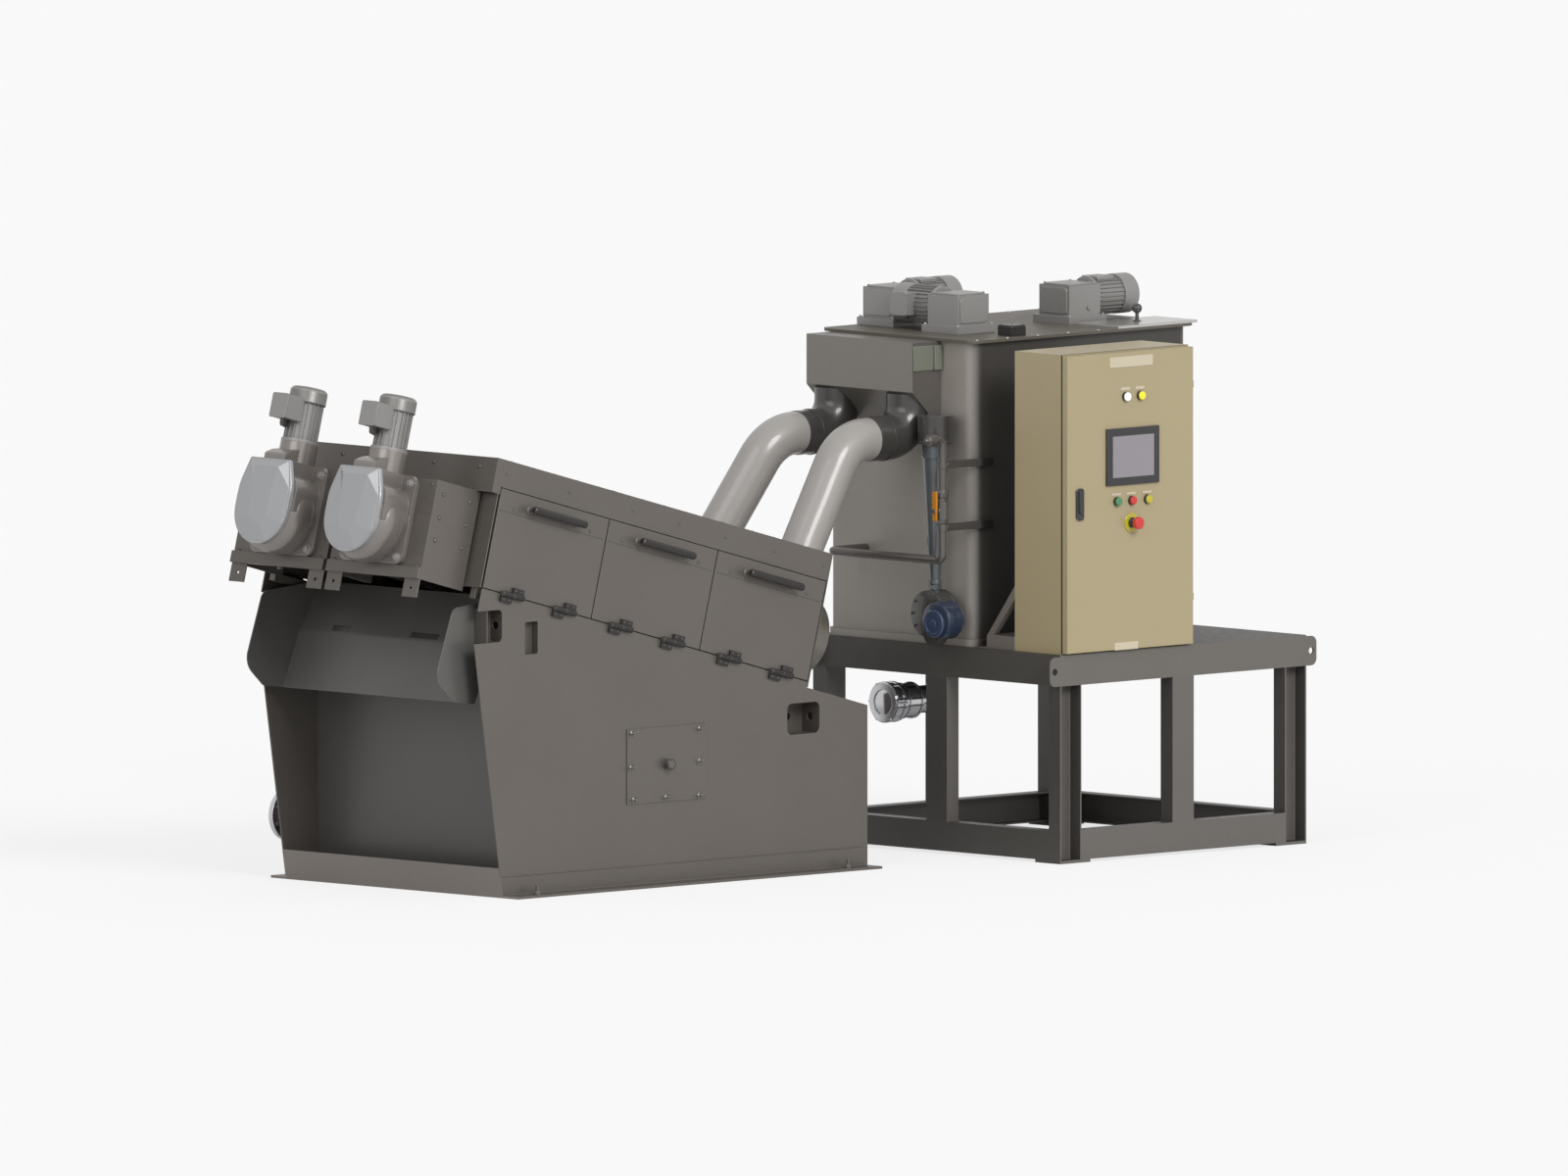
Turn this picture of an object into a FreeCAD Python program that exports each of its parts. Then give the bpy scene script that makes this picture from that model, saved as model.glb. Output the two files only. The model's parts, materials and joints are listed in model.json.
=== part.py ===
import FreeCAD, Part
import math
import os
import re
import Sketcher

# Multi-disc screw press with its flocculation tank stand.
# Millimetres. +X runs from the press's discharge end to the stand, +Y away from
# the cabinet's front, +Z up. The origin is the middle of the whole at the floor.

SIZES = {
    # Press on the floor, from its near bottom corner at the discharge end
    "press_x": -1785,
    "press_y": -408.5,
    "press_length": 2030,
    "press_width": 1240,
    "wall_plate": 6,
    "tray_height": 85,
    "front_sill": 120,
    "foot_reach": 85,
    "foot_plate": 10,
    "front_lean": 8.9,
    "wall_nose": 210,
    "bay_depth": 170,
    # Sloping line on which the side doors hinge
    "slope": 15,
    "hinge_x": -115,
    "hinge_z": 1245,
    # Hood, measured along and square to the slope
    "hood_length": 1875,
    "hood_height": 525,
    "hood_plate": 4,
    "end_gap": 2.5,
    "end_drop": 18,
    "header_reach": 46,
    "door_bottom": 7,
    "door_top": 411,
    "door_plate": 3,
    "door_gap": 6,
    "door_return": 22,
    "door_count": 3,
    "handle_length": 300,
    "handle_rod": 13,
    "handle_leg": 9,
    "handle_reach": 40,
    "handle_height": 357,
    # Door hinges
    "hinge_offset": 150,
    "hinge_axis_out": 14,
    "hinge_axis_up": 5,
    "knuckle_radius": 11,
    "knuckle_length": 60,
    "leaf_height": 30,
    "cabinet_knuckle": 28,
    "cabinet_knuckle_radius": 8,
    "pin_radius": 4,
    "pin_clearance": 0.1,
    "running_gap": 1,
    "leaf_plate": 3,
    # Openings in the side walls
    "slot_x": 158,
    "slot_z": 1032,
    "slot_width": 73,
    "slot_height": 130,
    "pocket_x": 1673,
    "pocket_z": 618,
    "pocket_width": 180,
    "pocket_height": 125,
    "corner_radius": 25,
    "notch_end": -5,
    "notch_start": -80,
    "notch_height": 129,
    "recess_depth": 100,
    "notch_depth": 66,
    "slot_depth": 34,
    "recess_plate": 4,
    "bar_hole": 16,
    "hatch_x": 909,
    "hatch_z": 482,
    "hatch_width": 442,
    "hatch_height": 300,
    "hatch_lap": 20,
    "seat_gap": 0.3,
    # Drums on two parallel sloping axes
    "drum_pitch": 510,
    "drum_axis_up": 218,
    "drum_radius": 150,
    "ring_count": 12,
    "ring_groove": 8,
    "shaft_radius": 25,
    "chamber_radius": 165,
    "chamber_start": 1790,
    "chamber_end": 2160,
    # Drum heads in front of the hood
    "head_width": 525,
    "head_front": 271,
    "head_back": 25,
    "head_plate": 6,
    "head_top": 385,
    "ledge_depth": 14,
    "ledge_top": 27,
    "ledge_bottom": -20,
    "tab_width": 84,
    "tab_drop": 75,
    # Gearboxes, heights from the drum's axis
    "flange_side": 360,
    "flange_corner": 40,
    "flange_drop": 10,
    "flange_plate": 20,
    "gear_drop": 30,
    "gear_depth": 130,
    "belly_root": 158,
    "belly_radius": 170,
    "shoulder_half": 160,
    "shoulder_top": 115,
    "shoulder_corner": 70,
    "cover_radius": 148,
    "cover_plate": 20,
    "cover_half": 110,
    "cover_top": 170,
    "throat_half": 100,
    # Motors standing on the gearboxes' necks
    "neck_radius": 76,
    "nape_half": 58,
    "motor_u": -298,
    "motor_bottom": 258,
    "motor_flange": 12,
    "motor_radius": 62,
    "rib_height": 8,
    "rib_plate": 4,
    "rib_count": 20,
    "motor_top": 420,
    "fan_radius": 75,
    "fan_top": 482,
    "fan_round": 12,
    "terminal_reach": 144,
    "terminal_depth": 90,
    "terminal_half": 43,
    "terminal_low": 337,
    "terminal_height": 96,
    # Chute
    "cheek_inset": 80,
    "chute_plate": 5,
    # Feed pipes
    "feed_radius": 86,
    "feed_bend": 190,
    "feed_lean": 30,
    "feed_corner_x": 2257,
    "feed_height": 1668,
    "feed_end_x": 2456,
    "socket_radius": 98,
    "socket_start": 60,
    "socket_end": 260,
    "feed_straight": 60,
    "outlet_pitch": 409,
    "outlet_mid": 569.5,
    "elbow_radius": 90,
    "elbow_bend": 125,
    # Stand
    "stand_x": 888,
    "stand_y": -849.5,
    "stand_length": 1370,
    "stand_width": 1411,
    "channel_depth": 118,
    "channel_flange": 65,
    "channel_web": 6,
    "base_plate": 12,
    "deck_height": 835,
    "deck_plate": 6,
    "lug_reach": 57,
    "lug_corner": 28,
    "lug_plate": 10,
    "lug_hole": 14,
    # Tank
    "tank_x": 915,
    "tank_y": -328.5,
    "tank_length": 1195,
    "tank_width": 833,
    "tank_top": 2050,
    "tank_plate": 6,
    "tank_corner": 50,
    "rim_reach": 12,
    "rim_height": 30,
    "cover_reach": 25,
    "cover_thick": 12,
    "lid_length": 437,
    "lid_width": 240,
    "lid_plate": 10,
    "knob_stem": 6,
    "knob_rise": 52,
    "knob_radius": 20,
    # Weir box on the tank's front
    "weir_depth": 158,
    "weir_width": 606,
    "weir_y": -141.5,
    "weir_bottom": 1850,
    # Overflow under the weir box, and the pump below it
    "overflow_out": 95,
    "overflow_side": 123,
    "overflow_top": 1762,
    "collar_radius": 70,
    "collar_height": 115,
    "tube_radius": 52,
    "tail_radius": 22,
    "tail_length": 30,
    "funnel_top": 1600,
    "funnel_end": 1090,
    "pump_radius": 92,
    "pump_width": 90,
    "pump_arm": 40,
    "pump_motor_radius": 50,
    "pump_motor_length": 45,
    "pump_motor_side": 62,
    "pump_motor_drop": 70,
    "pump_z": 968,
    # Water pipe
    "water_out": 200,
    "water_side": 26,
    "water_low": 1195,
    "water_high": 1680,
    "water_run": 640,
    "water_bend": 30,
    "water_radius": 17,
    "valve_z": 1395,
    "stem_radius": 8,
    "lever_out": 45,
    "lever_plate": 6,
    # Mixer drives
    "mixer_base": 207,
    "mixer_base_height": 30,
    "mixer_box": 172,
    "mixer_box_height": 122,
    "mixer_axis": 98,
    "mixer_motor_radius": 72,
    "mixer_fan_radius": 80,
    "mixer_motor_length": 160,
    "mixer_fan_length": 75,
    "front_mixer_x": 240,
    "front_mixer_y": 335,
    "rear_mixer_x": 319,
    "rear_mixer_y": 350,
    "side_mixer_x": 290,
    "side_mixer_y": 78,
    # Level sensor on the tank's cover
    "sensor_x": 235,
    "sensor_y": 25,
    "sensor_side": 78,
    "sensor_height": 42,
    # Cabinet
    "cabinet_x": 911,
    "cabinet_y": -866.5,
    "cabinet_width": 700,
    "cabinet_height": 1200,
    "cabinet_depth": 300,
    "cabinet_door": 28,
    "cabinet_gap": 2,
    "cabinet_sheet": 3,
    "cabinet_lip": 22,
    "bracket_depth": 160,
    "bracket_rise": 260,
    "bracket_bar": 30,
    "screen_x": 214,
    "screen_z": 665,
    "screen_width": 289,
    "screen_height": 226,
    "button_radius": 15,
    "stop_radius": 37,
    "stop_cap": 23,
    # Anchor holes
    "anchor_radius": 9,
    "anchor_inset": 150,
}

doc = FreeCAD.newDocument("screw_press")
values = doc.addObject("Spreadsheet::Sheet", "Values")
for row, (alias, number) in enumerate(SIZES.items(), start=1):
    values.set("A%d" % row, alias)
    values.set("B%d" % row, str(number))
    values.setAlias("B%d" % row, alias)
doc.recompute()

X_AXIS = FreeCAD.Vector(1, 0, 0)
Y_AXIS = FreeCAD.Vector(0, 1, 0)
Z_AXIS = FreeCAD.Vector(0, 0, 1)
NO_TURN = FreeCAD.Rotation()
ALONG_X = FreeCAD.Rotation(Y_AXIS, 90)
ALONG_Y = FreeCAD.Rotation(X_AXIS, -90)
NODES = []
USED = {}


def size(name):
    return float(SIZES[name])


def formula(text):
    """Put the sheet's name before each named value in a formula."""
    return re.sub(r"[a-z_]+", lambda m: "Values." + m.group() if m.group() in SIZES else m.group(), str(text))


def unique(name):
    USED[name] = USED.get(name, 0) + 1
    return name if USED[name] == 1 else "%s_%d" % (name, USED[name])


def bind(thing, **formulas):
    for prop, text in formulas.items():
        thing.setExpression(prop, formula(text))


def place(thing, x, y, z, turn=NO_TURN):
    """Place a piece by three formulas and a fixed turn."""
    thing.Placement = FreeCAD.Placement(FreeCAD.Vector(), turn)
    for axis, text in (("x", x), ("y", y), ("z", z)):
        thing.setExpression("Placement.Base." + axis, formula(text))
    return thing


def tilt(thing):
    """Turn a piece drawn along and square to the slope into the press."""
    thing.Placement = FreeCAD.Placement(FreeCAD.Vector(), FreeCAD.Rotation(Y_AXIS, size("slope")))
    thing.setExpression("Placement.Base.x", formula("press_x + hinge_x"))
    thing.setExpression("Placement.Base.y", formula("press_y"))
    thing.setExpression("Placement.Base.z", formula("hinge_z"))
    thing.setExpression("Placement.Rotation.Angle", formula("slope"))
    return thing


def box(name, length, width, height, x, y, z):
    part = doc.addObject("Part::Box", unique(name))
    bind(part, Length=length, Width=width, Height=height)
    return place(part, x, y, z)


def rod(name, radius, height, x, y, z, turn=NO_TURN):
    part = doc.addObject("Part::Cylinder", unique(name))
    bind(part, Radius=radius, Height=height)
    return place(part, x, y, z, turn)


def cone(name, bottom, top, height, x, y, z, turn=NO_TURN):
    part = doc.addObject("Part::Cone", unique(name))
    bind(part, Radius1=bottom, Radius2=top, Height=height)
    return place(part, x, y, z, turn)


def join(name, parts):
    if len(parts) == 1:
        return parts[0]
    whole = doc.addObject("Part::MultiFuse", unique(name))
    whole.Shapes = parts
    whole.Refine = True
    return whole


def cut(name, base, tools):
    tool = join(name + "_tools", tools)
    whole = doc.addObject("Part::Cut", unique(name))
    whole.Base = base
    whole.Tool = tool
    whole.Refine = True
    return whole


def node(name, part):
    part.Label = name
    NODES.append(part)
    return part


def rounded_loop(corners):
    """Lines and arcs round a loop of (x, z, radius) corners."""
    points = [FreeCAD.Vector(x, z, 0) for x, z, r in corners]
    radii = [r for x, z, r in corners]
    ends = []
    arcs = []
    for i, point in enumerate(points):
        before = (points[i - 1] - point).normalize()
        after = (points[(i + 1) % len(points)] - point).normalize()
        if radii[i] <= 0:
            ends.append((point, point))
            arcs.append(None)
            continue
        half = before.getAngle(after) / 2
        reach = radii[i] / math.tan(half)
        first = point + before * reach
        last = point + after * reach
        bisector = (before + after).normalize()
        centre = point + bisector * (radii[i] / math.sin(half))
        middle = centre - bisector * radii[i]
        ends.append((first, last))
        arcs.append(Part.Arc(first, middle, last))
    pieces = []
    for i in range(len(points)):
        start = ends[i - 1][1]
        stop = ends[i][0]
        if start.distanceToPoint(stop) > 1e-6:
            pieces.append(Part.LineSegment(start, stop))
        if arcs[i]:
            pieces.append(arcs[i])
    return pieces


def body_plane(body, role):
    for feature in body.Origin.OriginFeatures:
        if feature.Role == role:
            return feature
    raise ValueError(role)


def add_sketch(body, role, loops, name):
    sketch = body.newObject("Sketcher::SketchObject", unique(name))
    sketch.AttachmentSupport = [(body_plane(body, role), "")]
    sketch.MapMode = "FlatFace"
    for loop in loops:
        first = sketch.GeometryCount
        count = len(loop)
        sketch.addGeometry(loop, False)
        if count == 1:
            continue
        for i in range(count):
            join_ends(sketch, first + i, first + (i + 1) % count)
    return sketch


def join_ends(sketch, one, two):
    """Tie the end of one curve to the start of the next, whichever way each runs."""
    best = None
    for end in (1, 2):
        for start in (1, 2):
            gap = sketch.getPoint(one, end).distanceToPoint(sketch.getPoint(two, start))
            if best is None or gap < best[0]:
                best = (gap, end, start)
    sketch.addConstraint(Sketcher.Constraint("Coincident", one, best[1], two, best[2]))


def plate(name, loops, thick, role="XZ_Plane", back=True):
    """A plate of a drawn outline, thick along +Y from its own XZ plane."""
    body = doc.addObject("PartDesign::Body", unique(name))
    sketch = add_sketch(body, role, loops, name + "_outline")
    pad = body.newObject("PartDesign::Pad", unique(name + "_pad"))
    pad.Profile = sketch
    pad.Reversed = back
    pad.setExpression("Length", formula(thick))
    body.Tip = pad
    return body


def rectangle(x, z, width, height, radius):
    left = x - width / 2
    right = x + width / 2
    low = z - height / 2
    high = z + height / 2
    corners = ((left, low, radius), (right, low, radius), (right, high, radius), (left, high, radius))
    return rounded_loop(corners)


def sloped(u, v):
    """Press-frame x and z of a point given along and square to the slope."""
    turn = math.radians(size("slope"))
    x = size("hinge_x") + u * math.cos(turn) + v * math.sin(turn)
    z = size("hinge_z") - u * math.sin(turn) + v * math.cos(turn)
    return x, z


def lean(z):
    """How far the leaning front edge stands out at a height."""
    return -z * math.tan(math.radians(size("front_lean")))


# Press base

def make_base():
    length = size("press_length")
    sill = size("front_sill")
    tray = size("tray_height")
    wall = size("wall_plate")
    side = ((0, 0, 0), (length, 0, 0), (length, tray, 0), (lean(tray), tray, 0))
    block = plate("tray_block", [rounded_loop(side)], "press_width")
    place(block, "press_x", "press_y", "0")
    front = ((lean(wall), wall, 0), (wall + lean(wall), wall, 0), (wall + lean(sill), sill, 0), (lean(sill), sill, 0))
    sill_plate = plate("sill_plate", [rounded_loop(front)], "press_width - 2 * wall_plate")
    place(sill_plate, "press_x", "press_y + wall_plate", "0")
    hollow = box("tray_hollow", "press_length - 2 * wall_plate", "press_width - 2 * wall_plate", "front_sill",
                 "press_x + wall_plate", "press_y + wall_plate", "foot_plate")
    tray_shell = cut("tray_shell", block, [hollow])
    near_foot = box("near_foot", "press_length", "foot_reach + wall_plate", "foot_plate",
                    "press_x", "press_y - foot_reach", "0")
    far_foot = box("far_foot", "press_length", "foot_reach + wall_plate", "foot_plate",
                   "press_x", "press_y + press_width - wall_plate", "0")
    holes = []
    for x in ("press_x + anchor_inset", "press_x + press_length - anchor_inset"):
        for y in ("press_y - foot_reach / 2", "press_y + press_width + foot_reach / 2"):
            holes.append(rod("press_anchor", "anchor_radius", "foot_plate + 20", x, y, "-10"))
    whole = join("base_parts", [tray_shell, sill_plate, near_foot, far_foot])
    node("press_base", cut("base_weldment", whole, holes))


def wall_outline():
    low = size("tray_height")
    length = size("press_length")
    nose_x, nose_z = sloped(0, -size("wall_nose"))
    top_x, top_z = sloped(0, 0)
    step_x, step_z = sloped(size("hood_length"), 0)
    drop_x, drop_z = sloped(size("hood_length"), -20)
    turn = math.radians(size("slope"))
    rear_z = drop_z - (length - drop_x) * math.tan(turn)
    notch_low = nose_z - 16
    notch_high = notch_low + size("notch_height")
    notch_end = size("notch_end")
    corners = [(lean(low), low, 0), (length, low, 0), (length, rear_z, 0), (drop_x, drop_z, 0),
               (step_x, step_z, 0), (top_x, top_z, 0)]
    fall = math.tan(turn)
    corners.append((top_x - (top_z - notch_high) * fall, notch_high, 4))
    corners.append((notch_end, notch_high, 20))
    corners.append((notch_end, notch_low, 20))
    corners.append((lean(notch_low), notch_low, 4))
    return rounded_loop(corners)


def wall_holes(with_hatch):
    slot = rectangle(size("slot_x"), size("slot_z"), size("slot_width"), size("slot_height"), 8)
    pocket = rectangle(size("pocket_x"), size("pocket_z"), size("pocket_width"), size("pocket_height"),
                       size("corner_radius"))
    holes = [slot, pocket]
    if with_hatch:
        lap = size("hatch_lap")
        holes.append(rectangle(size("hatch_x"), size("hatch_z"), size("hatch_width") - 2 * lap,
                               size("hatch_height") - 2 * lap, 12))
    return holes


def door_start(index):
    return index * size("hood_length") / size("door_count")


def hinge_places():
    """Distances along the slope of the two hinges under each door."""
    width = size("hood_length") / size("door_count")
    places = []
    for index in range(int(size("door_count"))):
        middle = door_start(index) + width / 2
        places.append(middle - size("hinge_offset"))
        places.append(middle + size("hinge_offset"))
    return places


def wall_knuckles(near):
    """Hinge halves on a wall: a leaf, a knuckle and the pin that the door's knuckle turns on."""
    side = "0" if near else "press_width"
    out = "-" if near else "+"
    parts = []
    for u in hinge_places():
        knuckle = rod("wall_knuckle", "knuckle_radius", "knuckle_length", "%s - knuckle_length - running_gap / 2" % u,
                      "%s %s hinge_axis_out" % (side, out), "hinge_axis_up", ALONG_X)
        pin = rod("hinge_pin", "pin_radius", "2 * knuckle_length", "%s - knuckle_length" % u,
                  "%s %s hinge_axis_out" % (side, out), "hinge_axis_up", ALONG_X)
        leaf_y = "leaf_plate - hinge_axis_out" if near else "press_width"
        leaf = box("wall_leaf", "knuckle_length", "hinge_axis_out - leaf_plate", "leaf_height",
                   "%s - knuckle_length - running_gap / 2" % u, leaf_y, "hinge_axis_up - leaf_plate - leaf_height")
        parts += [knuckle, pin, leaf]
    return parts


def recess(name, near, left, width, low, height, depth, holes=True):
    """Box welded behind a lifting opening; the deeper ones take a bar in their back and right side."""
    sheet = size("recess_plate")
    wall = size("wall_plate")
    back = depth + wall if near else size("press_width") - wall - depth
    start = wall if near else size("press_width") - wall - depth
    block = box(name + "_block", "%s" % (width + 2 * sheet), "%s" % depth, "%s" % (height + 2 * sheet),
                "press_x + %s" % (left - sheet), "press_y + %s" % start, "%s" % (low - sheet))
    inside = box(name + "_inside", "%s" % width, "%s" % depth, "%s" % height, "press_x + %s" % left,
                 "press_y + %s" % (start - sheet if near else start + sheet), "%s" % low)
    if not holes:
        return cut(name, block, [inside])
    middle = low + height / 2
    back_hole = rod(name + "_back_hole", "bar_hole", "4 * recess_plate", "press_x + %s" % (left + width * 0.55),
                    "press_y + %s" % (back - 2 * sheet), "%s" % middle, ALONG_Y)
    side_hole = rod(name + "_side_hole", "bar_hole", "4 * recess_plate", "press_x + %s" % (left + width - sheet),
                    "press_y + %s" % (start + depth / 2), "%s" % middle, ALONG_X)
    return cut(name, block, [inside, back_hole, side_hole])


def notch_recess(name, near):
    nose_x, nose_z = sloped(0, -size("wall_nose"))
    left = size("notch_start")
    return recess(name, near, left, size("notch_end") - left, nose_z - 16, size("notch_height"), size("notch_depth"))


def pocket_recess(name, near):
    width = size("pocket_width")
    height = size("pocket_height")
    return recess(name, near, size("pocket_x") - width / 2, width, size("pocket_z") - height / 2, height,
                  size("recess_depth"))


def slot_recess(name, near):
    width = size("slot_width")
    height = size("slot_height")
    return recess(name, near, size("slot_x") - width / 2, width, size("slot_z") - height / 2, height,
                  size("slot_depth"), False)


def make_walls():
    near = plate("near_panel", [wall_outline()] + wall_holes(True), "wall_plate")
    place(near, "press_x", "press_y", "0")
    near_hinges = tilt(join("near_hinges", wall_knuckles(True)))
    near_boxes = [notch_recess("near_notch", True), slot_recess("near_slot", True), pocket_recess("near_pocket", True)]
    node("near_wall", join("near_side", [near, near_hinges] + near_boxes))
    far = plate("far_panel", [wall_outline()] + wall_holes(False), "wall_plate")
    place(far, "press_x", "press_y + press_width - wall_plate", "0")
    far_hinges = tilt(join("far_hinges", wall_knuckles(False)))
    stub = rod("drain_stub", "60", "70", "press_x + 90", "press_y + press_width - seat_gap", "250", ALONG_Y)
    stub_flange = rod("stub_flange", "105", "22", "press_x + 90", "press_y + press_width + 60", "250", ALONG_Y)
    far_boxes = [notch_recess("far_notch", False), slot_recess("far_slot", False), pocket_recess("far_pocket", False)]
    node("far_wall", join("far_side", [far, far_hinges, stub, stub_flange] + far_boxes))
    turn = math.radians(size("slope"))
    drop_x, drop_z = sloped(size("hood_length"), -20)
    rear_height = drop_z - (size("press_length") - drop_x) * math.tan(turn) - size("tray_height")
    rear = box("rear_plate", "wall_plate", "press_width - 2 * wall_plate", "%s" % rear_height,
               "press_x + press_length - wall_plate", "press_y + wall_plate", "tray_height")
    node("rear_wall", rear)
    bay = box("bay_plate", "wall_plate", "press_width - 2 * wall_plate", "900",
              "press_x + bay_depth", "press_y + wall_plate", "foot_plate")
    node("bay_wall", bay)
    lap_x = size("hatch_x") - size("hatch_width") / 2
    hatch = box("hatch_plate", "hatch_width", "4", "hatch_height", "press_x + %s" % lap_x,
                "press_y - seat_gap - 4", "%s" % (size("hatch_z") - size("hatch_height") / 2))
    knob = rod("hatch_knob", "16", "30", "press_x + hatch_x", "press_y - seat_gap - 34",
               "hatch_z", ALONG_Y)
    node("hatch", join("hatch_cover", [hatch, knob]))


# Discharge chute

def make_chute():
    thick = size("chute_plate")
    low_x, low_z = -90, 778
    bend_x, bend_z = 2, 1004
    top_x, top_z = 120, 1190
    sheet_line = ((low_x, low_z, 0), (low_x + thick, low_z, 0), (bend_x + thick, bend_z, 60),
                  (top_x + thick, top_z, 0), (top_x, top_z, 0), (bend_x, bend_z, 60))
    sheet = plate("chute_sheet", [rounded_loop(sheet_line)], "press_width - 2 * cheek_inset + 2 * chute_plate")
    place(sheet, "press_x", "press_y + cheek_inset - chute_plate", "0")
    cheek = ((-205, 1168, 40), (-304, 885, 80), (-200, 790, 30), (low_x + thick, low_z, 0),
             (bend_x + thick, bend_z, 0), (top_x + thick, top_z, 0), (60, 1190, 0))
    near = plate("near_cheek", [rounded_loop(cheek)], "chute_plate")
    place(near, "press_x", "press_y + cheek_inset - chute_plate", "0")
    far = plate("far_cheek", [rounded_loop(cheek)], "chute_plate")
    place(far, "press_x", "press_y + press_width - cheek_inset", "0")
    tie = box("chute_tie", "30", "press_width - 2 * wall_plate", "40", "press_x + %s" % (top_x - 40),
              "press_y + wall_plate", "1085")
    node("discharge_chute", join("chute_weldment", [sheet, near, far, tie]))


# Hood over the drums, drawn along and square to the slope

def make_hood():
    parts = [box("header", "header_reach - end_gap", "press_width", "hood_height - head_top",
                 "-header_reach", "0", "head_top")]
    inner = box("header_hollow", "header_reach", "press_width - 2 * hood_plate", "hood_height - head_top",
                "hood_plate - header_reach", "hood_plate", "head_top - hood_plate")
    for side in ("0", "press_width - hood_plate"):
        parts.append(box("top_strip", "hood_length + 2 * end_gap", "hood_plate", "hood_height - door_top - door_gap",
                         "-end_gap", side, "door_top + door_gap"))
    for side in ("door_return + 12", "press_width - door_return - 42"):
        for index in range(int(size("door_count")) + 1):
            shift = 20 if 0 < index < size("door_count") else (0 if index == 0 else 40)
            parts.append(box("door_post", "40", "30", "hood_height + 30 - hood_plate / 2",
                             "%s - %s" % (door_start(index), shift), side, "-30"))
        parts.append(box("door_sill", "hood_length", "30", "30", "0", side, "-40"))
    for side in ("wall_plate", "press_width - wall_plate - 30"):
        parts.append(box("sill_pad", "60", "30", "26", "300", side, "-38"))
        parts.append(box("sill_pad", "60", "30", "26", "1500", side, "-38"))
    roof = box("roof", "hood_length + 2 * end_gap", "press_width", "hood_plate", "-end_gap", "0",
               "hood_height - hood_plate")
    parts.append(roof)
    rear = box("hood_rear", "hood_plate", "press_width", "hood_height + end_drop",
               "hood_length + end_gap", "0", "-end_drop")
    parts.append(rear)
    holes = [rod("drum_hole", "chamber_radius + seat_gap", "60", "hood_length - 30", drum_y(s), "drum_axis_up", ALONG_X)
             for s in (-1, 1)]
    whole = cut("hood_weldment", join("hood_parts", parts), [inner] + holes)
    node("hood", tilt(whole))


def drum_y(side):
    sign = "-" if side < 0 else "+"
    return "press_width / 2 %s drum_pitch / 2" % sign


def make_doors():
    width = size("hood_length") / size("door_count")
    names = ("front", "middle", "rear")
    for near in (True, False):
        for index in range(int(size("door_count"))):
            start = door_start(index)
            label = "%s_door_%s" % ("near" if near else "far", names[index])
            node(label, make_door(label, start, width, near))


def make_door(label, start, width, near):
    skin_y = "0" if near else "press_width - door_plate"
    inner_y = "0" if near else "press_width - door_return"
    panel = box(label + "_panel", "%s - door_gap" % width, "door_return", "door_top - door_bottom",
                "%s + door_gap / 2" % start, inner_y, "door_bottom")
    hollow_y = "door_plate" if near else "press_width - door_return - 10"
    hollow = box(label + "_hollow", "%s - door_gap - 2 * door_plate" % width, "door_return - door_plate + 10",
                 "door_top - door_bottom - 2 * door_plate", "%s + door_gap / 2 + door_plate" % start,
                 hollow_y, "door_bottom + door_plate")
    shell = cut(label + "_shell", panel, [hollow])
    out = "-" if near else "+"
    side = "0" if near else "press_width"
    middle = start + width / 2
    bar = rod(label + "_bar", "handle_rod", "handle_length", "%s - handle_length / 2" % middle,
              "%s %s handle_reach" % (side, out), "handle_height", ALONG_X)
    parts = [shell, bar]
    for shift in (-1, 1):
        end = "%s %s (handle_length / 2 - handle_rod)" % (middle, "+" if shift > 0 else "-")
        leg_y = "1 - handle_reach" if near else "press_width - 1"
        parts.append(rod(label + "_leg", "handle_leg", "handle_reach", end, leg_y, "handle_height", ALONG_Y))
    for u in (middle - size("hinge_offset"), middle + size("hinge_offset")):
        knuckle = rod(label + "_knuckle", "knuckle_radius", "knuckle_length", "%s + running_gap / 2" % u,
                      "%s %s hinge_axis_out" % (side, out), "hinge_axis_up", ALONG_X)
        leaf_y = "leaf_plate - hinge_axis_out" if near else "press_width"
        leaf = box(label + "_leaf", "knuckle_length", "hinge_axis_out - leaf_plate", "leaf_height",
                   "%s + running_gap / 2" % u, leaf_y, "hinge_axis_up + leaf_plate")
        parts += [knuckle, leaf]
    bores = [rod(label + "_bore", "pin_radius + pin_clearance", "knuckle_length + 20", "%s - 10" % u,
                 "%s %s hinge_axis_out" % (side, out), "hinge_axis_up", ALONG_X)
             for u in (middle - size("hinge_offset"), middle + size("hinge_offset"))]
    return tilt(cut(label + "_door", join(label + "_parts", parts), bores))


# Drum heads, drums and drives

def head_start(side):
    return "press_width / 2 - head_width - 10" if side < 0 else "press_width / 2 + 10"


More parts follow.
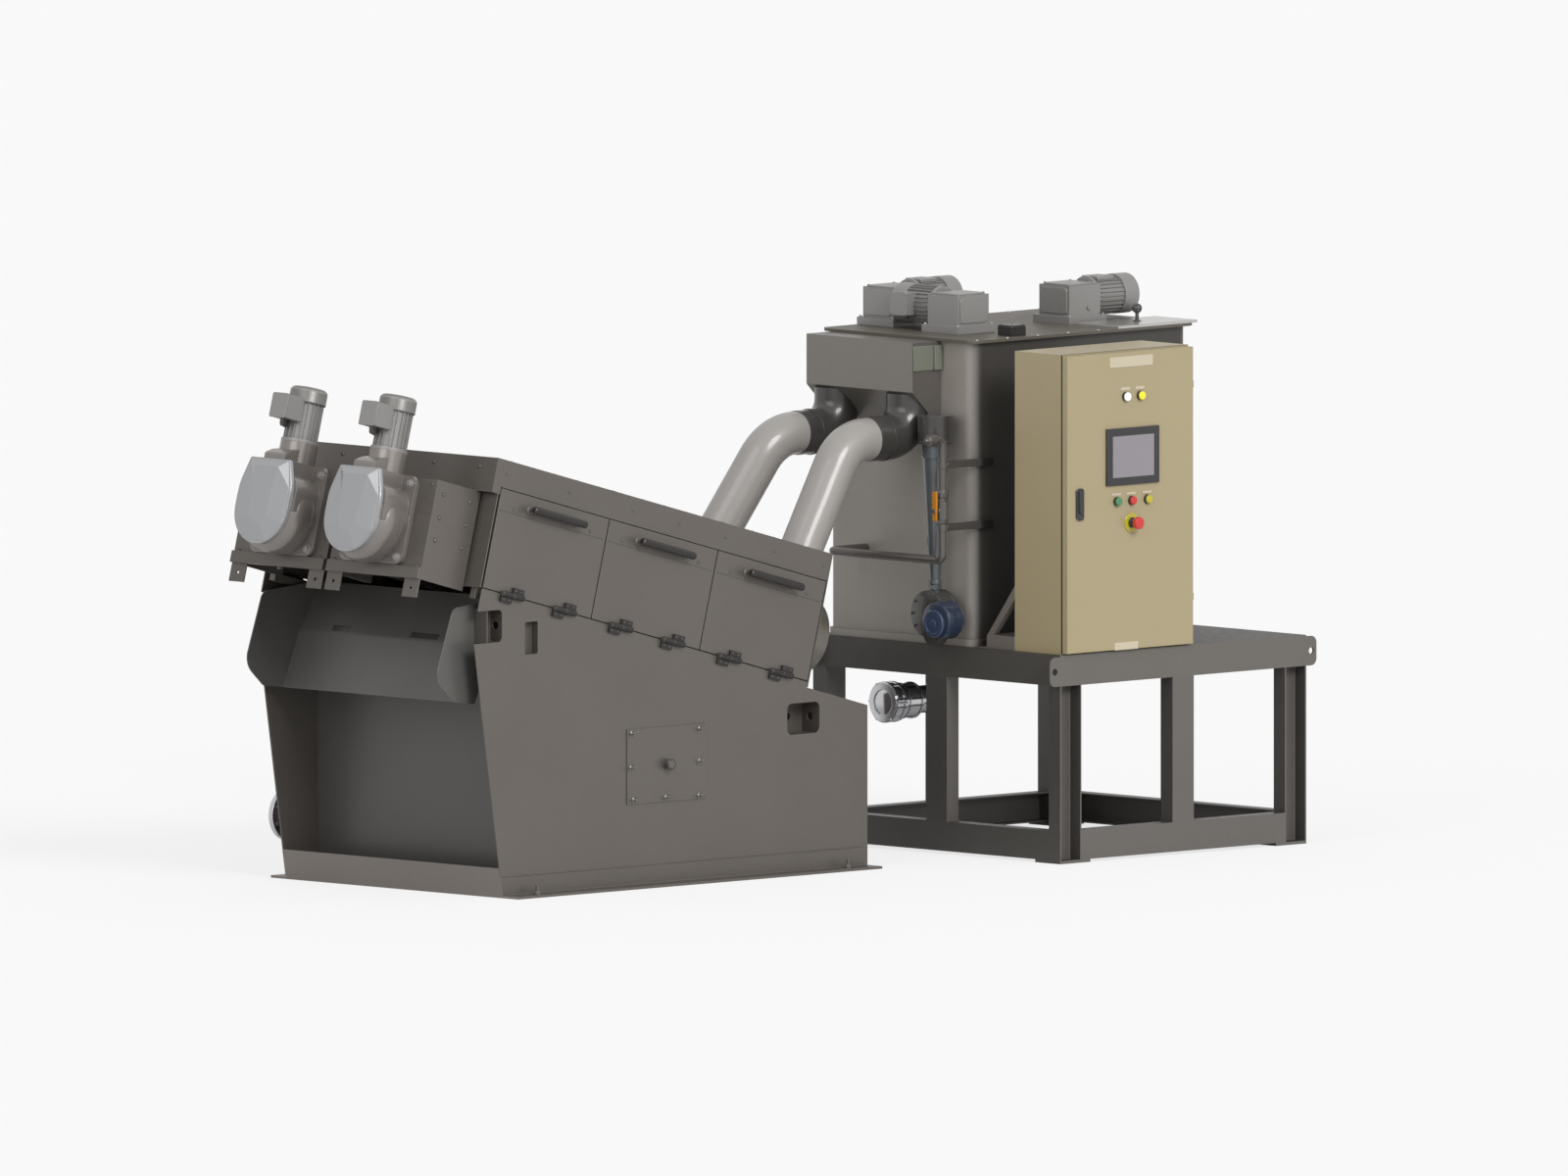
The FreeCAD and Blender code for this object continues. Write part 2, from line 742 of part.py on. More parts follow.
def make_head(name, side):
    y = head_start(side)
    shell = box(name + "_block", "head_front - head_back", "head_width", "head_top - ledge_bottom",
                "-head_front", y, "ledge_bottom")
    hollow = box(name + "_hollow", "head_front", "head_width - 2 * head_plate", "head_top - ledge_bottom",
                 "head_plate - head_front", y + " + head_plate", "ledge_bottom - head_plate")
    ledge = box(name + "_ledge", "ledge_depth", "head_width", "ledge_top - ledge_bottom",
                "-head_front - ledge_depth", y, "ledge_bottom")
    parts = [shell]
    tabs = [ledge]
    for start in (y, y + " + head_width - tab_width"):
        tabs.append(box(name + "_tab", "head_plate", "tab_width", "tab_drop", "-head_front", start,
                        "ledge_bottom - tab_drop"))
    bore = rod(name + "_bore", "shaft_radius + 20", "60", "-head_front - 30", drum_y(side), "drum_axis_up", ALONG_X)
    holes = [rod(name + "_tab_hole", "7", "60", "-head_front - 30", start + " + tab_width / 2",
                 "ledge_bottom - tab_drop / 2", ALONG_X) for start in (y, y + " + head_width - tab_width")]
    shell_cut = cut(name + "_shell", join(name + "_solid", parts), [hollow])
    return tilt(cut(name + "_head", join(name + "_parts", [shell_cut] + tabs), [bore] + holes))


def make_drum(name, side):
    """Stack of fixed and moving rings with the inlet chamber behind it."""
    body = doc.addObject("PartDesign::Body", unique(name + "_turned"))
    start = 30
    stop = size("chamber_start")
    radius = size("drum_radius")
    groove = size("ring_groove")
    count = int(size("ring_count"))
    pitch = (stop - start) / count
    shaft = size("shaft_radius")
    tip = -size("head_front") - 60
    line = [(tip, 0), (tip, shaft), (start - 10, shaft),
            (start - 10, radius + 15), (start, radius + 15)]
    for index in range(count):
        here = start + index * pitch
        line.append((here, radius - groove))
        line.append((here + groove, radius - groove))
        line.append((here + groove, radius))
        line.append((here + pitch, radius))
    end = size("chamber_end")
    outer = size("chamber_radius")
    line += [(stop, outer), (end - 20, outer), (end, outer - 20), (end, 0)]
    loop = rounded_loop([(x, z, 0) for x, z in line])
    sketch = add_sketch(body, "XZ_Plane", [loop], name + "_profile")
    turned = body.newObject("PartDesign::Revolution", name + "_revolved")
    turned.Profile = sketch
    turned.ReferenceAxis = (sketch, ["H_Axis"])
    turned.Angle = 360
    body.Tip = turned
    place(body, "0", drum_y(side), "drum_axis_up")
    return body


def feed_hit():
    """Where the feed pipe's line meets the drum's axis, in the press frame."""
    down = math.radians(size("feed_lean"))
    turn = math.radians(size("slope"))
    axis_x, axis_z = sloped(0, size("drum_axis_up"))
    # axis + u * (cos, -sin) = corner - t * (sin lean, cos lean)
    gap_x = size("feed_corner_x") - axis_x
    gap_z = size("feed_height") - axis_z
    spread = math.cos(turn) * math.cos(down) + math.sin(turn) * math.sin(down)
    u = (gap_x * math.cos(down) - gap_z * math.sin(down)) / spread
    return axis_x + u * math.cos(turn), axis_z - u * math.sin(turn)


def socket_end(reach):
    down = math.radians(size("feed_lean"))
    hit_x, hit_z = feed_hit()
    return hit_x + reach * math.sin(down), hit_z + reach * math.cos(down)


def make_socket(name, side):
    """Pipe socket on the inlet chamber, leaning like the feed pipe."""
    part = doc.addObject("Part::Cylinder", unique(name + "_socket"))
    part.setExpression("Radius", formula("socket_radius"))
    part.setExpression("Height", formula("socket_end - socket_start"))
    hit_x, hit_z = socket_end(size("socket_start"))
    part.Placement = FreeCAD.Placement(FreeCAD.Vector(), FreeCAD.Rotation(Y_AXIS, size("feed_lean")))
    part.setExpression("Placement.Base.x", formula("press_x + %s" % hit_x))
    part.setExpression("Placement.Base.y", formula("press_y + " + drum_y(side)))
    part.setExpression("Placement.Base.z", "%s" % hit_z)
    return part


def make_drums():
    for name, side in (("near", -1), ("far", 1)):
        node(name + "_drum_head", make_head(name, side))
        turned = tilt(join(name + "_drum_axis", [make_drum(name + "_drum", side),
                                                 rod(name + "_hub", "shaft_radius + 10", "20", "0", drum_y(side),
                                                     "drum_axis_up", ALONG_X)]))
        node(name + "_drum", join(name + "_drum_whole", [turned, make_socket(name, side)]))
        node(name + "_gearbox", make_gearbox(name, side))
        node(name + "_motor", make_motor(name, side))


def make_gearbox(name, side):
    """Flange on the drum head, bowl-shaped body, flat cover with a squared top, and the motor's neck."""
    y = drum_y(side)
    back = "-head_front - flange_plate - gear_depth"
    side_length = size("flange_side")
    flange = plate(name + "_flange", [rectangle(0, 0, side_length, side_length, size("flange_corner"))],
                   "flange_plate", "YZ_Plane", False)
    place(flange, "-head_front - flange_plate", y, "drum_axis_up - flange_drop")
    belly = place(gear_belly(name), "0", y, "drum_axis_up - gear_drop")
    wide = size("shoulder_half")
    high = size("shoulder_top")
    bend = size("shoulder_corner")
    outline = ((-wide, -size("gear_drop"), 0), (wide, -size("gear_drop"), 0), (wide, high, bend), (-wide, high, bend))
    shoulder = place(plate(name + "_shoulder", [rounded_loop(outline)], "gear_depth", "YZ_Plane", False),
                     back, y, "drum_axis_up")
    cover = place(plate(name + "_cover", [cover_outline()], "cover_plate", "YZ_Plane", False),
                  back + " - cover_plate", y, "drum_axis_up - gear_drop")
    throat = box(name + "_throat", "gear_depth", "2 * throat_half", "cover_top", back, y + " - throat_half",
                 "drum_axis_up")
    neck = rod(name + "_neck", "neck_radius", "motor_bottom - cover_top", "motor_u", y, "drum_axis_up + cover_top")
    nape = place(gear_nape(name), "0", y + " - nape_half", "drum_axis_up")
    bore = rod(name + "_bore", "shaft_radius + pin_clearance", "120", "-head_front - 100", y, "drum_axis_up", ALONG_X)
    parts = [flange, belly, shoulder, cover, throat, neck, nape]
    return tilt(cut(name + "_gear", join(name + "_gear_parts", parts), [bore]))


def gear_belly(name):
    """Bowl of the gearbox, turned about the X axis and fullest between the flange and the cover."""
    front = -size("head_front") - size("flange_plate")
    depth = size("gear_depth")
    root = size("belly_root")
    full = size("belly_radius")
    round_in = 80
    profile = ((front, 0, 0), (front, root, 0), (front - depth / 5, full, round_in),
               (front - depth * 0.7, full, round_in), (front - depth, size("cover_radius"), 0), (front - depth, 0, 0))
    body = doc.addObject("PartDesign::Body", unique(name + "_belly"))
    sketch = add_sketch(body, "XZ_Plane", [rounded_loop(profile)], name + "_belly_profile")
    turned = body.newObject("PartDesign::Revolution", name + "_belly_turned")
    turned.Profile = sketch
    turned.ReferenceAxis = (sketch, ["H_Axis"])
    turned.Angle = 360
    body.Tip = turned
    return body


def cover_outline():
    """Round cover whose top is squared off under the motor's neck."""
    radius = size("cover_radius")
    half = size("cover_half")
    top = size("cover_top") + size("gear_drop")
    shoulder = radius * 0.4
    rise = radius * 0.74
    right = [(radius, -radius, radius), (radius, shoulder, 40), (half, rise, 40), (half, top, 8)]
    left = [(-x, z, bend) for x, z, bend in reversed(right)]
    return rounded_loop(right + left)


def gear_nape(name):
    """Sloping back of the neck, from the cover's top up to the motor."""
    back = -size("head_front") - size("flange_plate") - size("gear_depth")
    middle = size("motor_u")
    low = size("cover_top") - 20
    high = size("motor_bottom") - 18
    outline = ((back, low, 0), (middle, low, 0), (middle, high, 0), (back + 36, high - 24, 12), (back, high - 44, 12))
    return plate(name + "_nape", [rounded_loop(outline)], "2 * nape_half")


def motor_ribs(name, y, low):
    """Cooling ribs of a motor, each pair one plate through the axis."""
    parts = []
    count = int(size("rib_count")) // 2
    for index in range(count):
        turn = 180 / count * index
        across = math.cos(math.radians(turn))
        along = math.sin(math.radians(turn))
        rib = box(name + "_rib", "2 * (motor_radius + rib_height)", "rib_plate", "motor_top - motor_bottom", "0", "0", "0")
        place(rib, "motor_u - (motor_radius + rib_height) * %.9f + rib_plate / 2 * %.9f" % (across, along),
              "%s - (motor_radius + rib_height) * %.9f - rib_plate / 2 * %.9f" % (y, along, across),
              low, FreeCAD.Rotation(Z_AXIS, turn))
        parts.append(rib)
    return parts


def make_motor(name, side):
    """Ribbed barrel on a round foot, a fan cover with a rounded top and a terminal box in front."""
    y = drum_y(side)
    low = "drum_axis_up + motor_bottom"
    foot = rod(name + "_foot", "neck_radius", "motor_flange", "motor_u", y, low)
    barrel = rod(name + "_barrel", "motor_radius", "motor_top - motor_bottom", "motor_u", y, low)
    fan = rod(name + "_fan", "fan_radius", "fan_top - fan_round - motor_top", "motor_u", y, "drum_axis_up + motor_top")
    crown = cone(name + "_crown", "fan_radius", "fan_radius - fan_round", "fan_round", "motor_u", y,
                 "drum_axis_up + fan_top - fan_round")
    terminal = box(name + "_terminal", "terminal_depth", "2 * terminal_half", "terminal_height",
                   "motor_u - terminal_reach", y + " - terminal_half", "drum_axis_up + terminal_low")
    parts = [foot, barrel, fan, crown, terminal] + motor_ribs(name, y, low)
    return tilt(join(name + "_motor_parts", parts))


# Feed pipes

def swept(name, points, bend, radius):
    """A round solid along straight runs joined by bends."""
    corners = [FreeCAD.Vector(*p) for p in points]
    start = corners[0]
    stretches = []
    for before, here, after in zip(corners, corners[1:], corners[2:]):
        back = (before - here).normalize()
        ahead = (after - here).normalize()
        half = back.getAngle(ahead) / 2
        if math.pi / 2 - half < 1e-4:
            continue
        reach = bend / math.tan(half)
        first = here + back * reach
        middle = here + (back + ahead).normalize() * (bend / math.sin(half))
        stretches.append(straight_run(start, first, radius))
        ring = Part.Face(Part.Wire([Part.makeCircle(radius, first, back)]))
        stretches.append(ring.revolve(middle, ahead.cross(back), 180 - math.degrees(2 * half)))
        start = here + ahead * reach
    stretches.append(straight_run(start, corners[-1], radius))
    part = doc.addObject("Part::Feature", unique(name))
    part.Shape = stretches[0].multiFuse(stretches[1:]) if len(stretches) > 1 else stretches[0]
    return part


def straight_run(start, end, radius):
    return Part.makeCylinder(radius, start.distanceToPoint(end), start, end - start)


def outlet_y(side):
    return size("press_y") + size("outlet_mid") + side * size("outlet_pitch") / 2


def make_feed():
    for name, side in (("near", -1), ("far", 1)):
        drum = size("press_y") + size("press_width") / 2 + side * size("drum_pitch") / 2
        x, z = socket_end(size("socket_end") + size("seat_gap"))
        straight_x, straight_z = socket_end(size("socket_end") + size("feed_straight"))
        left = size("press_x")
        points = ((left + x, drum, z), (left + straight_x, drum, straight_z),
                  (left + size("feed_corner_x"), outlet_y(side), size("feed_height")),
                  (left + size("feed_end_x"), outlet_y(side), size("feed_height")))
        node(name + "_feed_pipe", swept(name + "_feed", points, size("feed_bend"), size("feed_radius")))
        start = left + size("feed_end_x") + size("seat_gap")
        corner = size("tank_x") - 85
        elbow = ((start, outlet_y(side), size("feed_height")), (corner, outlet_y(side), size("feed_height")),
                 (corner, outlet_y(side), 1840))
        bent = swept(name + "_bend", elbow, size("elbow_bend"), size("elbow_radius"))
        node(name + "_elbow", trim_under_weir(name, bent, outlet_y(side)))


def trim_under_weir(name, bent, y):
    """Keep the part of an elbow that lies under the weir box's sloping bottom."""
    low = size("weir_bottom") - size("weir_depth") - size("seat_gap")
    right = size("tank_x")
    reach = 300
    outline = ((right - reach, low - reach, 0), (right, low - reach, 0), (right, low, 0),
               (right - reach, low + reach, 0))
    wedge = plate(name + "_wedge", [rounded_loop(outline)], "400")
    place(wedge, "0", "%s - 200" % y, "0")
    common = doc.addObject("Part::MultiCommon", unique(name + "_trimmed"))
    common.Shapes = [bent, wedge]
    return common


# Weir box, tank and what stands on it

def weir_shape(name):
    left = size("tank_x") - size("weir_depth")
    right = size("tank_x") - size("seat_gap")
    low = size("weir_bottom")
    top = size("tank_top")
    outline = ((left, top, 0), (left, low, 0), (right, low - size("weir_depth") + size("seat_gap"), 0),
               (right, top, 0))
    shell = plate(name, [rounded_loop(outline)], "weir_width")
    return place(shell, "0", "weir_y", "0")


def make_weir():
    node("weir_box", weir_shape("weir_block"))


def make_tank():
    corners = size("tank_corner")
    x = size("tank_x") + size("tank_length") / 2
    y = size("tank_y") + size("tank_width") / 2
    outer = rectangle(x, y, size("tank_length"), size("tank_width"), corners)
    block = plate("tank_block", [outer], "tank_top - deck_height", "XY_Plane", False)
    place(block, "0", "0", "deck_height")
    thick = size("tank_plate")
    inner = rectangle(x, y, size("tank_length") - 2 * thick, size("tank_width") - 2 * thick, corners - thick)
    hollow = plate("tank_hollow", [inner], "tank_top - deck_height", "XY_Plane", False)
    place(hollow, "0", "0", "deck_height + tank_plate")
    rim = rectangle(x, y, size("tank_length") + 2 * size("rim_reach"), size("tank_width") + 2 * size("rim_reach"),
                    corners + size("rim_reach"))
    foot = plate("tank_foot", [rim], "rim_height", "XY_Plane", False)
    place(foot, "0", "0", "deck_height")
    node("tank", cut("tank_shell", join("tank_solid", [block, foot]), [hollow]))
    reach = 2 * size("cover_reach")
    edge = rectangle(x, y, size("tank_length") + reach, size("tank_width") + reach, corners)
    cover = plate("cover_sheet", [edge], "cover_thick", "XY_Plane", False)
    place(cover, "0", "0", "tank_top")
    node("tank_cover", cover)


def make_lid():
    """Loose lid at the cover's near right corner, lifted by a ball knob."""
    top = "tank_top + cover_thick"
    left = "tank_x + tank_length + cover_reach - lid_length"
    near = "tank_y - cover_reach"
    sheet = box("lid_sheet", "lid_length", "lid_width", "lid_plate", left, near, top)
    middle_x = left + " + lid_length / 2"
    middle_y = near + " + lid_width / 2"
    stem = rod("lid_stem", "knob_stem", "knob_rise", middle_x, middle_y, top + " + lid_plate / 2")
    knob = doc.addObject("Part::Sphere", "lid_ball")
    bind(knob, Radius="knob_radius")
    place(knob, middle_x, middle_y, top + " + lid_plate + knob_rise")
    node("tank_lid", join("lid_parts", [sheet, stem, knob]))


def make_mixer(name, x, y, turn, label):
    """Square foot, gearbox and a motor lying on one side of it."""
    foot = box(name + "_foot", "mixer_base", "mixer_base", "mixer_base_height", "-mixer_base / 2",
               "-mixer_base / 2", "0")
    gear = box(name + "_gear", "mixer_box", "mixer_box", "mixer_box_height", "-mixer_box / 2",
               "-mixer_box / 2", "mixer_base_height")
    barrel = rod(name + "_barrel", "mixer_motor_radius", "mixer_motor_length", "mixer_box / 2 - 5", "0",
                 "mixer_axis", ALONG_X)
    fan = rod(name + "_fan", "mixer_fan_radius", "mixer_fan_length", "mixer_box / 2 + mixer_motor_length - 10", "0",
              "mixer_axis", ALONG_X)
    parts = [foot, gear, barrel, fan]
    if label == "with_terminal":
        parts.append(box(name + "_terminal", "90", "60", "90", "mixer_box / 2 + 90", "mixer_motor_radius - 20", "60"))
    whole = join(name + "_parts", parts)
    whole.Placement = FreeCAD.Placement(FreeCAD.Vector(), FreeCAD.Rotation(Z_AXIS, turn))
    whole.setExpression("Placement.Base.x", formula(x))
    whole.setExpression("Placement.Base.y", formula(y))
    whole.setExpression("Placement.Base.z", formula("tank_top + cover_thick"))
    node(name, whole)


def make_tank_fittings():
    make_mixer("front_mixer_drive", "tank_x + front_mixer_x", "tank_y + front_mixer_y", 90, "with_terminal")
    make_mixer("rear_mixer_drive", "tank_x + tank_length - rear_mixer_x", "tank_y + rear_mixer_y", 0, "plain")
    make_mixer("side_mixer_drive", "tank_x + side_mixer_x", "tank_y + tank_width - side_mixer_y", 0, "plain")
    sensor = box("sensor_box", "sensor_side", "sensor_side", "sensor_height", "tank_x + sensor_x",
                 "tank_y + sensor_y", "tank_top + cover_thick")
    node("level_sensor", sensor)


# Pipes beside the tank

def make_overflow():
    """Collar against the weir box's near bottom corner, with a long funnel below it."""
    x = "tank_x - overflow_out"
    y = "tank_y + overflow_side"
    collar = rod("overflow_collar", "collar_radius", "collar_height", x, y, "overflow_top - collar_height")
    pipe = rod("overflow_tube", "tube_radius", "overflow_top - collar_height / 2 - funnel_top", x, y, "funnel_top")
    funnel = cone("overflow_cone", "tail_radius", "tube_radius", "funnel_top - funnel_end", x, y, "funnel_end")
    tail = rod("overflow_tail", "tail_radius", "tail_length", x, y, "funnel_end - tail_length")
    whole = join("overflow_parts", [collar, pipe, funnel, tail])
    node("overflow_pipe", cut("overflow", whole, [weir_shape("weir_corner")]))


def make_pump():
    """Round casing under the overflow, on an arm from the tank, with its motor low in front."""
    x = "tank_x - overflow_out"
    y = "tank_y + overflow_side"
    face = x + " - pump_width / 2"
    casing = rod("pump_casing", "pump_radius", "pump_width", face, y, "pump_z", ALONG_X)
    inlet = rod("pump_inlet", "tail_radius + 8", "funnel_end - tail_length - seat_gap - pump_z", x, y, "pump_z")
    motor = rod("pump_motor", "pump_motor_radius", "pump_motor_length", face + " - pump_motor_length + 10",
                y + " - pump_motor_side", "pump_z - pump_motor_drop", ALONG_X)
    arm = box("pump_arm", "overflow_out", "pump_arm", "pump_arm", x, y + " - pump_arm / 2", "pump_z - pump_arm / 2")
    node("drain_pump", join("pump_parts", [casing, inlet, motor, arm]))


def make_water_pipe():
    """Thin pipe on the tank's corner, with a ball valve whose lever turns on a stem."""
    x = size("tank_x") - size("water_out")
    y = size("tank_y") - size("water_side")
    low = size("water_low")
    high = size("water_high")
    turn_y = y + size("water_run")
    points = ((x - 55, y, high), (x, y, high), (x, y, low), (x, turn_y, low), (size("tank_x"), turn_y, low))
    pipe = swept("water_run", points, size("water_bend"), size("water_radius"))
    nozzle = rod("spray_nozzle", "24", "30", "%s" % (x - 75), "%s" % y, "water_high", ALONG_X)
    body = rod("valve_body", "27", "70", "%s" % x, "%s" % y, "valve_z - 35")
    union = rod("pipe_union", "25", "31", "%s" % x, "%s" % y, "valve_z + 52")
    stem = rod("valve_stem", "stem_radius", "lever_out + 10", "%s - lever_out - 10" % x, "%s" % y, "valve_z", ALONG_X)
    clamps = []
    for z in ("1310", "1560"):
        clamps.append(box("pipe_clamp", "water_out + 90", "water_side - 8", "30", "%s - 4" % x,
                          "tank_y - water_side + 8", z))
    node("water_pipe", join("water_parts", [pipe, nozzle, body, union, stem] + clamps))
    blade = box("lever_blade", "lever_plate", "22", "117", "%s - lever_out" % x, "%s - 11" % y, "valve_z - 39")
    hole = rod("lever_hole", "stem_radius + pin_clearance / 2", "40", "%s - lever_out - 20" % x, "%s" % y,
               "valve_z", ALONG_X)
    node("valve_lever", cut("lever_arm", blade, [hole]))


def make_coupling():
    x = size("press_x") + 2690
    y = size("press_y") + 580
    top = size("deck_height") - size("deck_plate") - size("seat_gap")
    points = ((x + 90, y, 584), (x + 330, y, 584), (x + 330, y, top))
    pipe = swept("drain_run", points, 100, 55)
    ring = rod("coupling_ring", "77", "70", "%s" % (x - 10), "%s" % y, "584", ALONG_X)
    second = rod("coupling_second", "70", "100", "%s" % (x + 55), "%s" % y, "584", ALONG_X)
    mouth = rod("coupling_mouth", "51", "80", "%s" % (x - 20), "%s" % y, "584", ALONG_X)
    node("drain_coupling", cut("coupling", join("coupling_parts", [pipe, ring, second]), [mouth]))


# Cabinet

CABINET_HINGES = (150, 1000)
CABINET_AXIS_X = "cabinet_x + cabinet_width + cabinet_knuckle_radius + leaf_plate"
CABINET_AXIS_Y = "cabinet_y + cabinet_door + cabinet_gap / 2"


def cabinet_hinge(low, leaf_start):
    """A knuckle on the cabinet's right side and the leaf that holds it."""
    knuckle = rod("cabinet_knuckle", "cabinet_knuckle_radius", "cabinet_knuckle", CABINET_AXIS_X, CABINET_AXIS_Y, low)
    leaf = box("cabinet_leaf", "leaf_plate + cabinet_knuckle_radius", "20", "cabinet_knuckle", "cabinet_x + cabinet_width",
               leaf_start, low)
    return [knuckle, leaf]


def make_cabinet():
    deep = "cabinet_depth - cabinet_door - cabinet_gap"
    front = "cabinet_y + cabinet_door + cabinet_gap"
    block = box("cabinet_box", "cabinet_width", deep, "cabinet_height", "cabinet_x", front, "deck_height")
    inside = box("cabinet_inside", "cabinet_width - 2 * cabinet_sheet", deep, "cabinet_height - 2 * cabinet_sheet",
                 "cabinet_x + cabinet_sheet", front + " - cabinet_sheet", "deck_height + cabinet_sheet")
    rim = box("cabinet_rim", "cabinet_width", "cabinet_sheet", "cabinet_height", "cabinet_x", front, "deck_height")
    mouth = box("cabinet_mouth", "cabinet_width - 2 * cabinet_lip", "60", "cabinet_height - 2 * cabinet_lip",
                "cabinet_x + cabinet_lip", front + " - 30", "deck_height + cabinet_lip")
    shell = cut("cabinet_shell", block, [inside])
    frame = cut("cabinet_frame", rim, [mouth])
    hinges = []
    for z in CABINET_HINGES:
        low = "deck_height + %s" % z
        hinges += cabinet_hinge(low, front)
        hinges.append(rod("door_pin", "pin_radius", "2 * cabinet_knuckle", CABINET_AXIS_X, CABINET_AXIS_Y, low))
    node("cabinet", join("cabinet_parts", [shell, frame] + hinges))
    door = box("cabinet_leaf", "cabinet_width", "cabinet_door", "cabinet_height - 12",
               "cabinet_x", "cabinet_y", "deck_height + 6")
    recess = box("screen_recess", "screen_width - 20", "cabinet_door", "screen_height - 20",
                 "cabinet_x + screen_x + 10", "cabinet_y - 12", "deck_height + screen_z + 10")
    parts = [cut("cabinet_panel", door, [recess])]
    bores = []
    for z in CABINET_HINGES:
        low = "deck_height + %s + cabinet_knuckle + running_gap" % z
        parts += cabinet_hinge(low, "cabinet_y + cabinet_door - 20")
        bores.append(rod("door_bore", "pin_radius + pin_clearance", "cabinet_knuckle + 2", CABINET_AXIS_X,
                         CABINET_AXIS_Y, low + " - 1"))
    for x, z in ((323, 1017), (404, 1017), (274, 600), (356, 600), (443, 600)):
        parts.append(rod("panel_button", "button_radius", "20", "cabinet_x + %s" % x, "cabinet_y - 12",
                         "deck_height + %s" % z, ALONG_Y))
    parts.append(rod("stop_disc", "stop_radius", "8", "cabinet_x + 356", "cabinet_y - 3", "deck_height + 511", ALONG_Y))
    parts.append(rod("stop_stem", "stop_cap - 8", "40", "cabinet_x + 356", "cabinet_y - 38", "deck_height + 511",
                     ALONG_Y))
    parts.append(rod("stop_cap", "stop_cap", "18", "cabinet_x + 356", "cabinet_y - 50", "deck_height + 511", ALONG_Y))
    parts.append(box("flush_handle", "40", "16", "126", "cabinet_x + 47", "cabinet_y - 6", "deck_height + 537"))
    node("cabinet_door", cut("door_whole", join("cabinet_door_parts", parts), bores))
    screen = box("screen_block", "screen_width", "8", "screen_height", "cabinet_x + screen_x",
                 "cabinet_y - 8", "deck_height + screen_z")
    back = box("screen_back", "screen_width - 24", "18", "screen_height - 24", "cabinet_x + screen_x + 12",
               "cabinet_y - 2", "deck_height + screen_z + 12")
    node("screen", join("screen_parts", [screen, back]))


def make_bracket():
    """Rail with two triangular braces behind the cabinet."""
    back = "cabinet_y + cabinet_depth"
    foot = box("bracket_foot", "cabinet_width", "bracket_depth + 50", "4", "cabinet_x", back, "deck_height")
    rail = box("bracket_rail", "cabinet_width", "bracket_depth", "55", "cabinet_x", back, "deck_height")
    deep = size("bracket_depth")
    rise = size("bracket_rise")
    bar = size("bracket_bar")
    parts = [foot, rail]
    brace = ((deep, 50, 0), (deep - bar, 50, 0), (0, rise - bar * 1.7, 0), (0, rise, 0))
    for x in ("cabinet_x", "cabinet_x + cabinet_width - bracket_bar"):
        body = doc.addObject("PartDesign::Body", unique("brace"))
        sketch = add_sketch(body, "YZ_Plane", [rounded_loop(brace)], "brace_outline")
        pad = body.newObject("PartDesign::Pad", unique("brace_pad"))
        pad.Profile = sketch
        pad.setExpression("Length", formula("bracket_bar"))
        body.Tip = pad
        parts.append(place(body, x, back, "deck_height"))
    node("cabinet_bracket", join("bracket_parts", parts))


# Stand

def channel(name, length, turn, x, y, z):
    """A C section along local X, web on the local -Y face, flanges to +Y."""
    deep = size("channel_depth")
    wide = size("channel_flange")
    web = size("channel_web")
    outline = ((0, 0, 0), (wide, 0, 0), (wide, web, 0), (web, web, 4), (web, deep - web, 4), (wide, deep - web, 0),
               (wide, deep, 0), (0, deep, 0))
    body = doc.addObject("PartDesign::Body", unique(name))
    sketch = add_sketch(body, "YZ_Plane", [rounded_loop(outline)], name + "_section")
    pad = body.newObject("PartDesign::Pad", unique(name + "_pad"))
    pad.Profile = sketch
    pad.setExpression("Length", formula(length))
    body.Tip = pad
    return place(body, x, y, z, turn)


FACE_NEAR = FreeCAD.Rotation()
FACE_FAR = FreeCAD.Rotation(Z_AXIS, 180)
FACE_LEFT = FreeCAD.Rotation(Z_AXIS, -90)
FACE_RIGHT = FreeCAD.Rotation(Z_AXIS, 90)


def frame_ring(name, z, end_inset, side_inset):
    """Four channels round the stand, webs outside."""
    long = "stand_length - 2 * %s" % end_inset
    short = "stand_width - 2 * %s" % side_inset
    far = "stand_y + stand_width"
    right = "stand_x + stand_length"
    return [
        channel(name + "_near", long, FACE_NEAR, "stand_x + %s" % end_inset, "stand_y", z),
        channel(name + "_far", long, FACE_FAR, right + " - %s" % end_inset, far, z),
        channel(name + "_left", short, FACE_LEFT, "stand_x", far + " - %s" % side_inset, z),
        channel(name + "_right", short, FACE_RIGHT, right, "stand_y + %s" % side_inset, z),
    ]


def upright(name, web_side, x, y, low, high):
    """A post of the same section, standing on end."""
    spin = {"near": 0, "far": 180, "left": -90, "right": 90}[web_side]
    turn = FreeCAD.Rotation(Z_AXIS, spin) * FreeCAD.Rotation(Y_AXIS, -90)
    return channel(name, "%s - (%s)" % (high, low), turn, x, y, low)


def lug_outline(out):
    """Tall lifting lug with rounded outer corners."""
    width = size("lug_reach") + size("lug_plate")
    high = size("channel_depth")
    left = size("lug_corner") if out == "-" else 0
    right = size("lug_corner") - left
    return rounded_loop(((0, 0, left), (width, 0, right), (width, high, right), (0, high, left)))


